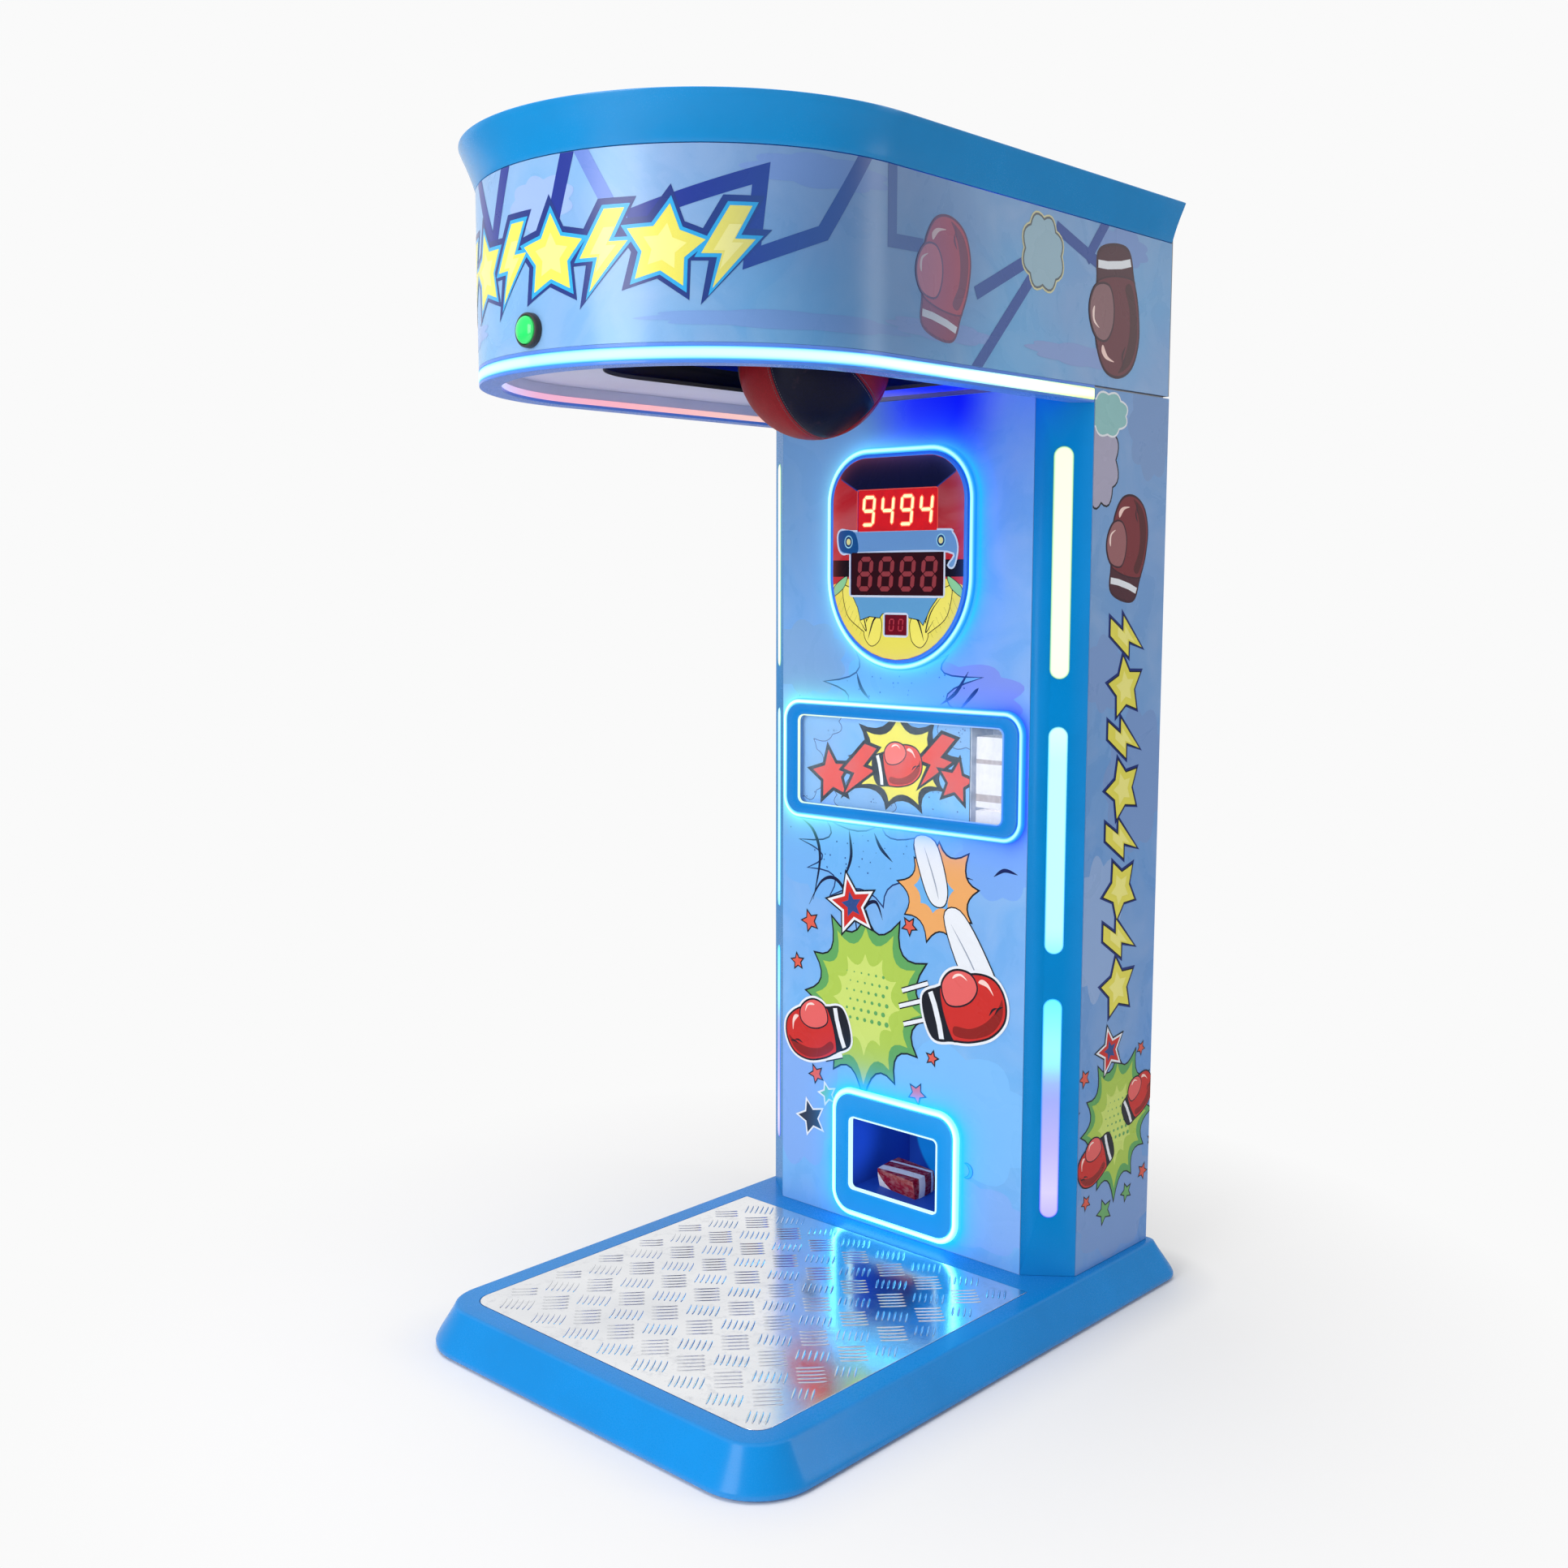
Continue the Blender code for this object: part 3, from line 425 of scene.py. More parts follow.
def slot_shape(half, low, high, draw_in, steps=16):
    """An upright slot with round ends, drawn in by a border."""
    reach = half - draw_in
    left = [(-reach, high - half + (low - high + 2 * half) * step / 24) for step in range(1, 24)]
    right = [(-u, v) for u, v in reversed(left)]
    return arc((0.0, high - half), reach, 0, 180, steps) + left + arc((0.0, low + half), reach, 180, 360,
        steps) + right


for side, sign in (("left", -1), ("right", 1)):
    for level in ("top", "middle", "bottom"):
        name = f"corner_light_{side}_{level}"
        low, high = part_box(name)
        face = Vector(((post_low.x + post_high.x) / 2 * sign, (post_low.y + post_high.y) / 2))
        along, outward = Vector((slant.x * sign, slant.y)), Vector((slant.y * sign, -slant.x))
        half = 0.01475
        rows = []
        section = mm("0 -8.5, 0 -0.2, 0.6 0.4, 2 0.8, 3.6 1, 6 1.1, 10 1.1")
        for draw_in, proud in section:
            row = []
            for u, z in slot_shape(half, low.z, high.z, draw_in):
                spot = face + along * u + outward * proud
                row.append((spot.x, spot.y, z))
            rows.append(row)
        around = len(rows[0])
        corners, faces = sweep(rows, loop=False)
        for first in (0, len(corners) - around):
            for step in range(around // 2):
                near, far = first + (8 + step) % around, first + (8 - step) % around
                quad = (near, first + (9 + step) % around, first + (7 - step) % around, far)
                faces.append(tuple(dict.fromkeys(quad)))
        faces = [face for face in faces if len(face) > 2]
        bar_made = piece(f"light_bar_{side}_{level}", (corners, faces), bar_lens, stands_for=[name])

        def bar_colour(corner, index, around=around, low=low, high=high, scale=bar_scales[level]):
            core = (0.0, 0.0, 0.25, 0.8, 1.0, 1.0, 1.0)[index // around]
            share = (corner.z - low.z) / (high.z - low.z)
            return between(along_scale(bar_rims, corner.z), along_scale(scale, share), core)

        lit(bar_made, bar_colour)

# ---- Front panel and its print ----
# Four-millimetre composite sheet, routed for the window and the chute, under a glossy printed film. The
# cut vinyl pictures on it are plain comic shapes: bursts, puffs, bolts, stars and boxing gloves.

face_low, face_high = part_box("front_panel")
window_low, window_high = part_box("window_light")
chute_low, chute_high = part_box("chute_light")
display_low, display_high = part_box("display_light")
dress("front_panel", pale_coat)
CHALK = (1.0, 1.0, 1.0, 1.0)


def box_falloff(tree, place, low, high, upper_radius, lower_radius, reach):
    """1 on the outline of an upright round-cornered box and less with distance from it, inside and out."""
    centre = ((low.x + high.x) / 2, 0.0, (low.z + high.z) / 2)
    half = ((high.x - low.x) / 2, 10.0, (high.z - low.z) / 2)
    off = vector_of(tree, "SUBTRACT", place, centre)
    above = sum_of(tree, "GREATER_THAN", join(tree, "SeparateXYZ", {0: off}, out=2), 0.0)
    radius = ramped(tree, above, 0.0, 1.0, lower_radius, upper_radius)
    size = vector_of(tree, "ABSOLUTE", off)
    size = vector_of(tree, "SUBTRACT", size, half)
    size = vector_of(tree, "ADD", size, radius)
    outside = vector_of(tree, "MAXIMUM", size, (0.0, 0.0, 0.0))
    outside = vector_of(tree, "LENGTH", outside, out=1)
    gap = sum_of(tree, "SUBTRACT", outside, radius)
    gap = sum_of(tree, "ABSOLUTE", gap)
    gap = sum_of(tree, "MULTIPLY", gap, -1.0 / reach)
    return sum_of(tree, "EXPONENT", gap)


def pooled(tree, place, centre, near, far):
    """1 round a spot and 0 beyond a distance from it."""
    off = vector_of(tree, "DISTANCE", place, centre, out=1)
    return join(tree, "MapRange", {0: off, 1: near, 2: far, 3: 1.0, 4: 0.0}, interpolation_type="SMOOTHSTEP")


def print_finish(name, low_tone, high_tone, patch_tone, heights, glows=(), pools=(), painted_glow_strength=0.0):
    """Glossy laminated print: the cut pictures' own ink, or a soft sky between two tones with paler patches.
    glows are the light that nearby rings throw on it: outline, left colour, right colour and strength.
    pools are round patches of painted light and painted shade: centre, near and far distance, share, the
    painted tint, and the light."""
    material, tree, shader = new_finish(name, Coat_Weight=0.1, Coat_Roughness=0.16, Specular_IOR_Level=0.12)
    place = join(tree, "TexCoord", out=3)
    cloud = noise(tree, place, 3.2, 3.0)
    wash = noise(tree, place, 9.0, 6.0, Distortion=1.2)
    dots = join(tree, "TexVoronoi", {"Vector": place, "Scale": 900.0})
    height = join(tree, "SeparateXYZ", {0: place}, out=2)
    sky = tinted(tree, ramped(tree, height, heights[0], heights[1]), low_tone, high_tone)
    sky = tinted(tree, ramped(tree, cloud, 0.42, 0.62, 0.0, 0.8), sky, patch_tone)
    sky = tinted(tree, ramped(tree, wash, 0.35, 0.75, 0.0, 0.1), sky, CHALK)
    ink = tree.nodes.new("ShaderNodeAttribute")
    ink.attribute_name = "ink"
    base = tinted(tree, ink.outputs["Alpha"], sky, ink.outputs["Color"])
    base = tinted(tree, ramped(tree, dots, 0.0, 0.5, 0.05, 0.0), base, DARK)
    shine = None
    across = join(tree, "SeparateXYZ", {0: place}, out=0)
    for low, high, upper, lower, reach, left, right, strength in glows:
        fall = box_falloff(tree, place, low, high, upper, lower, reach)
        colour = tinted(tree, ramped(tree, across, low.x, high.x), left, right)
        fall = sum_of(tree, "MULTIPLY", fall, strength)
        base = tinted(tree, fall, base, colour)
        share = tinted(tree, fall, DARK, colour)
        shine = share if shine is None else tinted(tree, 1.0, shine, share, "ADD")
    # Each pool paints its tint into the base colour and its light into the glow.
    for centre, near, far, most, dye_and_painted_light, colour in pools:
        fall = sum_of(tree, "MULTIPLY", pooled(tree, place, centre, near, far), most)
        base = tinted(tree, fall, base, dye_and_painted_light)
        share = tinted(tree, fall, DARK, colour)
        shine = share if shine is None else tinted(tree, 1.0, shine, share, "ADD")
    drive(tree, Base_Color=base)
    if shine is not None:
        drive(tree, Emission_Color=shine)
        shader.inputs["Emission Strength"].default_value = 0.75
    # A painted glow: where a strength is given, the whole print glows in its own colour.
    if painted_glow_strength:
        drive(tree, Emission_Color=base)
        shader.inputs["Emission Strength"].default_value = painted_glow_strength
    rough = ramped(tree, wash, 0.3, 0.7, 0.24, 0.34)
    drive(tree, Roughness=rough)
    peel = noise(tree, place, 260.0, 2.0)
    emboss(tree, peel, 0.2, 0.00008)
    return material


def star(points, outer, inner, turn=90.0):
    """A star's outline about its own middle."""
    loop = []
    for step in range(2 * points):
        angle = math.radians(turn + 180.0 * step / points)
        reach = inner if step % 2 else outer
        loop.append((reach * math.cos(angle), reach * math.sin(angle)))
    return loop


def bulged(knots, bulge, steps=6):
    """Joins the knots round a middle with curves, out for a puff and in for a burst's spikes."""
    loop = []
    for (u0, v0), (u1, v1) in zip(knots, knots[1:] + knots[:1]):
        u, v = (u0 + u1) / 2 * bulge, (v0 + v1) / 2 * bulge
        for step in range(steps):
            t = step / steps
            loop.append(((1 - t) ** 2 * u0 + 2 * t * (1 - t) * u + t * t * u1,
                (1 - t) ** 2 * v0 + 2 * t * (1 - t) * v + t * t * v1))
    return loop


def ring_of(count, wide, high, vary=0.0, seed=1, turn=0.0):
    """Knots on an oval, moved in and out a little."""
    chance = random.Random(seed)
    knots = []
    for step in range(count):
        angle = math.radians(turn) + math.tau * (step + vary * chance.uniform(-0.35, 0.35)) / count
        reach = 1.0 + vary * chance.uniform(-1, 1)
        knots.append((wide * reach * math.cos(angle), high * reach * math.sin(angle)))
    return knots


def burst(count, wide, high, depth=0.55, vary=0.15, seed=1, turn=0.0):
    return bulged(ring_of(count, wide, high, vary, seed, turn), depth)


def puff(count, wide, high, seed=1):
    return bulged(ring_of(count, wide, high, 0.06, seed), 1.55)


def soft(points, steps=6):
    """A smooth closed outline through the points."""
    count, loop = len(points), []
    for step in range(count):
        before, start, end, after = (Vector(points[(step + k) % count]) for k in (-1, 0, 1, 2))
        for part in range(steps):
            t = part / steps
            spot = 0.5 * (2 * start + (end - before) * t + (2 * before - 5 * start + 4 * end - after) * t *
                t + (3 * start - before - 3 * end + after) * t ** 3)
            loop.append(tuple(spot))
    return loop


def stroke(points, width, taper=True):
    """A drawn line with its own width, thin at its ends like a brush stroke."""
    left, right = [], []
    for step, point in enumerate(points):
        first = Vector(points[max(step, 1)]) - Vector(points[max(step, 1) - 1])
        after = min(step + 1, len(points) - 1)
        way = first.normalized() + (Vector(points[after]) - Vector(points[after - 1])).normalized()
        way = way.normalized() if way.length > 0.001 else first.normalized()
        share = step / (len(points) - 1)
        half = width / 2 * (max(math.sin(math.pi * share), 0.12) if taper else 1.0)
        half /= max(way.dot(first.normalized()), 0.3)
        off = Vector((-way.y, way.x)) * half
        left.append(tuple(Vector(point) + off))
        right.append(tuple(Vector(point) - off))
    return right + left[::-1]


def curve(points, steps=8):
    """A smooth open line through the points, ends included."""
    closed = soft([points[0], *points, points[-1]], steps)
    return closed[steps:steps * len(points)] + [points[-1]]


def brush_lines(text):
    return [mm(line) for line in text.split(";")]


def area(loop):
    return sum(a[0] * b[1] - b[0] * a[1] for a, b in zip(loop, loop[1:] + loop[:1])) / 2


def grown(loop, margin):
    """The outline moved outward by a margin, with its sharpest tips held short."""
    if area(loop) < 0:
        loop = loop[::-1]
    moved = []
    for before, here, after in zip(loop[-1:] + loop[:-1], loop, loop[1:] + loop[:1]):
        first, second = Vector(here) - Vector(before), Vector(after) - Vector(here)
        if first.length < 1e-9 or second.length < 1e-9:
            continue
        out_1 = Vector((first.y, -first.x)).normalized()
        out_2 = Vector((second.y, -second.x)).normalized()
        way = out_1 + out_2
        if way.length < 1e-6:
            way = out_1
        way.normalize()
        reach = margin / max(way.dot(out_1), 0.42)
        moved.append((here[0] + way.x * reach, here[1] + way.y * reach))
    return moved


def laid(loop, centre=(0.0, 0.0), size=1.0, turn=0.0, flip=1):
    """An outline moved to its place, sized, turned in degrees, and mirrored where flip is -1."""
    c, s = math.cos(math.radians(turn)), math.sin(math.radians(turn))
    moved = []
    for u, v in loop:
        u, v = u * flip * size, v * size
        moved.append((centre[0] + u * c - v * s, centre[1] + u * s + v * c))
    return moved


INK = tone(16, 20, 34)
WHITE = tone(236, 240, 246)
YELLOW = tone(236, 228, 92)
RED = tone(206, 44, 40)


def glove_art(centre, size, turn=0.0, flip=1, level=1, red=RED, cuff=INK, line=INK, halo=False):
    """A boxing glove seen from its side, about one size long: cuff at the left, knuckles at the right."""
    mitt = soft(mm("-240 -240, -180 -280, 0 -310, 240 -290, 430 -170, 490 30, 420 220, 220 310, -20 300, "
        "-200 260, -250 220, -270 0"))
    thumb = soft(mm("-200 100, -60 50, 100 80, 200 180, 170 310, 40 380, -100 370, -210 270"))
    wrist = soft(mm("-120 -230, -120 220, -300 245, -450 220, -500 100, -500 -100, -450 -220, -300 -255"), 4)
    stripe = mm("-345 -247, -330 -100, -330 100, -345 240, -405 232, -392 100, -392 -100, -405 -236")
    shade = soft(mm("-200 -230, 0 -290, 240 -270, 410 -150, 470 30, 380 -60, 200 -160, 0 -190, -180 -140"))
    shine = soft(mm("240 230, 330 170, 380 80, 350 200, 290 255"))
    glint = soft(mm("-60 320, 40 330, 110 270, 60 345, -20 355"))
    bright = tuple(min(c * 1.15 + 0.1, 1.0) for c in red[:3]) + (1.0,)
    edge = 0.022
    layers = [(grown(shape, edge * 2.2), WHITE, -1) for shape in (wrist, mitt, thumb)] if halo else []
    layers += [(grown(shape, edge), line, 0) for shape in (wrist, mitt, thumb)]
    layers += [(wrist, cuff, 1), (stripe, WHITE, 2), (grown(mitt, edge * 0.6), line, 3), (mitt, red, 4)]
    layers += [(shade, shaded(red, 0.45), 5), (shine, tone(250, 214, 205), 5),
        (grown(thumb, edge * 0.8), line, 6)]
    layers += [(thumb, bright, 7), (glint, tone(252, 226, 218), 8)]
    for u in (0.33, 0.4):
        crease = curve([(u - 0.06, -0.1), (u, -0.05), (u + 0.06, -0.04)], 5)
        layers.append((stroke(crease, 0.022), line, 6))
    return [(laid(loop, centre, size, turn, flip), colour, level + up) for loop, colour, up in layers]


def outlined(loop, colour, level, edge, line=INK):
    return [(grown(loop, edge), line, level), (loop, colour, level + 1)]


def cut(work, spot, way, clear=False):
    """Cuts flat shapes along a line, and clears the side that the line faces."""
    bmesh.ops.bisect_plane(work, geom=work.verts[:] + work.edges[:] + work.faces[:], plane_co=spot,
        plane_no=way, clear_outer=clear)


def inked(made, domain, colours):
    """Writes the colour of each corner, point or face of a printed piece."""
    ink = made.data.attributes.new("ink", "FLOAT_COLOR", domain)
    ink.data.foreach_set("color", [channel for colour in colours for channel in colour])
    return made


SKY = (0.0, 0.0, 0.0, 0.0)


def puffs(text, seed):
    """Faint clouds from a text of rows: place, width and height in millimetres, and colour."""
    made = []
    for row in text.split(","):
        u, v, wide, high, *colour = (float(number) for number in row.split())
        u, v, wide, high = (size / 1000 for size in (u, v, wide, high))
        made.append((laid(puff(9, wide, high, seed=seed(wide, high)), (u, v)), tone(*colour), 1))
    return made


def printed(name, bed, art, finish, limits, bend=0.0, gaps=()):
    """Cut vinyl shapes on one sheet: each outline is clipped to the sheet and its square gaps, cut where the
    sheet bends, and laid on it, lower levels first. bed turns (along, up, proud) into a place."""
    corners, faces, colours = [], [], []
    u_low, u_high, v_low, v_high = limits
    for order, (loops, colour, level) in enumerate(sorted(art, key=lambda shape: shape[2])):
        loops = loops if isinstance(loops[0][0], tuple) else [loops]
        flat = [Vector((u, v, 0.0)) for loop in loops for u, v in loop]
        work = bmesh.new()
        spots = [work.verts.new(spot) for spot in flat]
        for triple in tessellate_polygon([[Vector((u, v, 0.0)) for u, v in loop] for loop in loops]):
            if len(set(triple)) == 3:
                try:
                    work.faces.new([spots[index] for index in triple])
                except ValueError:
                    continue
        cuts = [((u_low, 0, 0), (-1, 0, 0)), ((u_high, 0, 0), (1, 0, 0)), ((0, v_low, 0), (0, -1, 0)),
            ((0, v_high, 0), (0, 1, 0))]
        for spot, way in cuts:
            cut(work, spot, way, True)
        if bend and work.verts:
            reach = [spot.co.x for spot in work.verts]
            for step in range(math.ceil(min(reach) / bend), math.floor(max(reach) / bend) + 1):
                cut(work, (step * bend, 0, 0), (1, 0, 0))
        for near, far in gaps:
            for spot, way in (((near[0], 0, 0), (1, 0, 0)), ((far[0], 0, 0), (1, 0, 0)),
                    ((0, near[1], 0), (0, 1, 0)), ((0, far[1], 0), (0, 1, 0))):
                cut(work, spot, way)
            lost = []
            for face in work.faces:
                spot = face.calc_center_median()
                if near[0] < spot.x < far[0] and near[1] < spot.y < far[1]:
                    lost.append(face)
            bmesh.ops.delete(work, geom=lost, context="FACES")
        work.verts.index_update()
        start, proud = len(corners), 0.0002 + 0.000006 * order
        corners += [tuple(bed(spot.co.x, spot.co.y, proud)) for spot in work.verts]
        for face in work.faces:
            order = [start + spot.index for spot in face.verts]
            if area([tuple(spot.co.xy) for spot in face.verts]) < 0:
                order.reverse()
            faces.append(order)
            colours += [colour] * len(order)
        work.free()
    return inked(piece(name, (corners, faces), finish, facing=True), "CORNER", colours)


def on_front(u, v, proud=0.0):
    return (u, face_low.y - proud, v)


def rounded(low, high, radius, draw_in=0.0, steps=12):
    """An upright rectangle's outline with round corners, drawn in by a border."""
    near, far = (low[0] + draw_in, low[1] + draw_in), (high[0] - draw_in, high[1] - draw_in)
    corner = max(radius - draw_in, 0.002)
    return round_plan(near, far, corner, corner, steps)


ring_width = 0.0098
window_near, window_far = (window_low.x, window_low.z), (window_high.x, window_high.z)
chute_near, chute_far = (chute_low.x, chute_low.z), (chute_high.x, chute_high.z)
window_gap = ((-0.2145, 0.782), (0.2145, 0.935))
chute_gap = ((-0.095, 0.12225), (0.095, 0.25075))
aside, inset = Vector((0.007, 0.0, 0.0)), Vector((0.002, 0.0, 0.0))
front_glows = [(display_low + inset, display_high + aside, 0.088, 0.152, 0.011, tone(120, 205, 205),
    tone(0, 165, 255), 0.92), (display_low, display_high, 0.088, 0.152, 0.036, tone(70, 130, 200),
    tone(20, 95, 255), 0.45), (window_low, window_high + inset, 0.037, 0.037, 0.014, tone(120, 218, 205),
    tone(10, 60, 255), 0.85), (chute_low, chute_high + aside, 0.042, 0.042, 0.019, tone(0, 160, 250),
    tone(0, 160, 248), 0.9)]
# Painted light and shade: a pool of deep blue light under the head, and painted shade at the top left under
# the overhang.
front_light_and_shade_pools = [((0.07, face_low.y, 1.44), 0.04, 0.155, 1.0, tone(4, 8, 120), (0.0, 0.0, 0.95, 1.0)),
    ((face_low.x, face_low.y, 1.33), 0.05, 0.42, 0.6, tone(112, 156, 196), DARK)]
front_print = print_finish("front_print", tone(116, 184, 244), tone(102, 160, 226), tone(116, 172, 236),
    (0.25, 1.3), front_glows, front_light_and_shade_pools)

sheet = [(face_low.x + 0.0004, face_low.z + 0.0006), (face_high.x - 0.0004, face_low.z + 0.0006),
    (face_high.x - 0.0004, face_high.z - 0.0006), (face_low.x + 0.0004, face_high.z - 0.0006)]
art = [(sheet, SKY, 0)]

# Faint shapes behind the pictures: pale puffs, and comic spikes above and below the window.
art += puffs("-200 1030 75 55 126 168 216, -150 700 100 70 116 178 240, 100 980 130 50 128 150 232, "
    "-40 980 70 60 110 186 240, 200 720 70 50 122 172 242, 120 300 150 100 126 192 250, "
    "-220 270 80 120 132 176 242, 160 140 110 50 134 180 244", lambda wide, high: int(wide * 1000))
for centre, wide, high, turn in (((-0.005, 0.985), 0.15, 0.075, 8), ((-0.06, 0.7), 0.165, 0.07, 3)):
    spikes = laid(burst(9, wide, high, 0.42, 0.18, seed=int(wide * 1000)), centre, turn=turn)
    art.append((grown(spikes, 0.0026), tone(26, 48, 110), 2))
    art.append((spikes, tone(112, 182, 244), 3))
for points in brush_lines("-105 745, -100 700, -115 660; 195 700, 215 712, 240 708; "
        "-50 745, -35 720, -10 700; 120 955, 150 985, 160 995; -90 1010, -80 985, -60 965; "
        "30 630, 45 640, 65 642; -215 755, -185 735, -170 690, -185 615; "
        "-195 605, -165 650, -130 655, -95 610, -85 560; -80 575, -70 615, -45 628, -30 600; "
        "60 735, 105 700, 155 690; 85 965, 115 985, 140 1020"):
    art.append((stroke(curve(points), 0.0062), tone(10, 20, 62), 4))
chance = random.Random(7)
for _ in range(70):
    spot = (chance.gauss(-0.02, 0.1), chance.choice((0.7, 0.98)) + chance.gauss(0, 0.022))
    if abs(spot[0]) < 0.24:
        art.append((laid(ring_of(6, 1, 1), spot, chance.uniform(0.0008, 0.0018)), tone(44, 84, 160), 4))


def punch_picture(centre, size, small=False):
    """A comic impact burst in three greens with dots, small stars round it and two gloves that fly out of it.
    The large one also has a swoosh that ends in an orange flash."""
    made = []

    def put(shapes):
        for loop, colour, level in shapes:
            made.append((laid(loop, centre, size), colour, level))

    lime, moss = tone(176, 206, 84), tone(96, 168, 96)
    for u, v, r in mm("-128 128 18, 98 150 14, -158 50 13, -112 -150 15, 118 -138 17, 150 -70 11"):
        put(outlined(laid(star(5, r, r * 0.48), (u, v), turn=400 * u), tone(226, 96, 78), 5, 0.0022))
    for wide, high, colour, level in ((0.142, 0.16, moss, 6), (0.118, 0.134, lime, 8),
            (0.074, 0.086, tone(206, 226, 116), 10)):
        put(outlined(burst(12, wide, high, 0.6, 0.1, seed=5), colour, level,
            0.003 if level == 6 else 0.0008, INK if level == 6 else colour))
    for row in range(6):
        for column in range(6):
            r = 0.0012 + 0.00036 * (row + column)
            spot = (-0.04 + 0.0165 * column + 0.008 * (row % 2), 0.052 - 0.0165 * row)
            put([(laid(ring_of(8, r, r), spot), moss, 12)])
    put(outlined(laid(star(5, 0.046, 0.021), (-0.03, 0.17), turn=14), RED, 13, 0.0045, WHITE))
    put([(grown(laid(star(5, 0.046, 0.021), (-0.03, 0.17), turn=14), 0.0075), INK, 12)])
    put([(laid(star(5, 0.024, 0.011), (-0.03, 0.17), turn=14), tone(44, 76, 140), 15)])
    if small:
        put(glove_art((-0.078, -0.066), 0.14, turn=22, flip=-1, level=14))
        put(glove_art((0.09, 0.04), 0.13, turn=30, level=14))
        return made
    flash = laid(burst(9, 0.084, 0.086, 0.6, 0.14, seed=9), (0.16, 0.212), turn=12)
    put(outlined(flash, tone(240, 172, 104), 3, 0.0028))
    put([(laid(burst(8, 0.04, 0.044, 0.72, 0.1, seed=2), (0.148, 0.222)), tone(110, 180, 238), 5)])
    put(outlined(soft(mm("108 300, 150 300, 176 232, 172 196, 146 196, 124 236"), 5), WHITE, 6, 0.0022))
    put(outlined(soft(mm("172 176, 204 190, 252 130, 292 50, 256 30, 206 90"), 5), WHITE, 6, 0.0022))
    put([(stroke(curve(mm("186 166, 226 110, 262 50")), 0.0026), tone(150, 160, 180), 8)])
    put([(stroke(curve(mm("128 290, 150 236, 160 204")), 0.0026), tone(150, 160, 180), 8)])
    for (u, v), (far_u, far_v) in (((0.078, 0.008), (0.15, 0.034)), ((0.088, -0.022), (0.156, 0.002)),
            ((0.084, 0.036), (0.14, 0.058)), ((-0.066, -0.02), (-0.104, -0.036)),
            ((-0.05, -0.104), (-0.09, -0.118))):
        streak = [(u, v), (far_u, far_v)]
        put([(stroke(streak, 0.011, False), INK, 12), (stroke(streak, 0.0066, False), WHITE, 13)])
    put(glove_art((-0.11, -0.072), 0.15, turn=18, flip=-1, level=14, halo=True))
    put(glove_art((0.218, 0.026), 0.17, turn=18, level=14, halo=True))
    return made


art += punch_picture((-0.068, 0.452), 0.97)
for spot, r, colour in (((-0.188, 0.226), 0.03, tone(44, 46, 62)),
        ((-0.15, 0.276), 0.017, tone(112, 190, 130))):
    art += outlined(laid(star(5, r, r * 0.48), spot, turn=20), colour, 5, 0.003, WHITE)
half_moon = arc((0.15, 0.211), 0.0125, -90, 90, 10) + arc((0.144, 0.211), 0.0125, 90, -90, 10)[1:-1]
art.append((grown(half_moon, 0.0012), tone(24, 84, 190), 4))
art.append((half_moon, tone(80, 180, 250), 5))
printed("front_film", on_front, art, front_print, (face_low.x + 0.0004, face_high.x - 0.0004,
    face_low.z + 0.0006, face_high.z - 0.0006), gaps=[((near[0] - 0.006, near[1] - 0.006),
    (far[0] + 0.006, far[1] + 0.006)) for near, far in (window_gap, chute_gap)])

# ---- Side films ----
# Each side sheet carries the same glossy film: a column of yellow stars and bolts, a puff and gloves
# above it and a small copy of the front's picture below.

side_low, side_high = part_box("side_panel_right")
side_print = print_finish("side_print", tone(92, 150, 220), tone(122, 166, 216), tone(116, 160, 216),
    (0.2, 1.4))
BOLT = mm("20 500, -340 -80, -80 -80, -200 -500, 340 100, 80 100, 300 500")
NAVY, BRIGHT = tone(10, 42, 124), tone(38, 168, 232)


def badge_row(spots, size, turn, edge, level=3, glow=BRIGHT):
    """A row of yellow shapes, star then bolt, each with a pale blue edge inside a navy one."""
    made = []
    for order, spot in enumerate(spots):
        shape = BOLT if order % 2 else star(5, 0.5, 0.27, 90 + 9 * (order % 3 - 1))
        shape = laid(shape, spot, size * (1.0 if order % 2 else 1.06), turn)
        shifted = [(u - edge * 0.5, v + edge * 0.4) for u, v in shape]
        made.append((grown(shifted, edge * 2.3), NAVY, level))
        made.append((grown(shape, edge), glow, level + 1))
        made.append((shape, YELLOW, level + 2))
        inner = [((u - spot[0]) * 0.55 + spot[0], (v - spot[1]) * 0.55 + spot[1]) for u, v in shape]
        made.append((inner, tone(248, 242, 140), level + 3))
    return made


middle = 0.39
side_art = [([(side_low.y + 0.0006, side_low.z + 0.0006), (side_high.y - 0.0006, side_low.z + 0.0006),
    (side_high.y - 0.0006, side_high.z - 0.0006), (side_low.y + 0.0006, side_high.z - 0.0006)], SKY, 0)]
side_art += puffs("430 850 80 100 124 158 212, 330 620 60 100 148 178 224, 450 1400 60 70 128 160 208, "
    "400 160 100 80 128 162 216, 330 1020 50 50 128 160 212", lambda wide, high: int(high * 1000))
side_art += outlined(laid(puff(9, 0.048, 0.062, seed=4), (0.3, 1.345)), tone(176, 172, 196), 3, 0.003)
side_art += outlined(laid(puff(8, 0.046, 0.028, seed=8), (0.322, 1.412)), tone(150, 200, 200), 5, 0.003,
    WHITE)
side_art += glove_art((middle, 1.213), 0.16, turn=78, level=3, red=tone(124, 44, 52),
    cuff=tone(74, 30, 44), line=tone(58, 24, 40))
side_art += badge_row([(middle, 0.516 + 0.08 * step) for step in range(8)], 0.092, 90, 0.0022, glow=INK)
side_art += punch_picture((middle + 0.004, 0.29), 0.74, small=True)
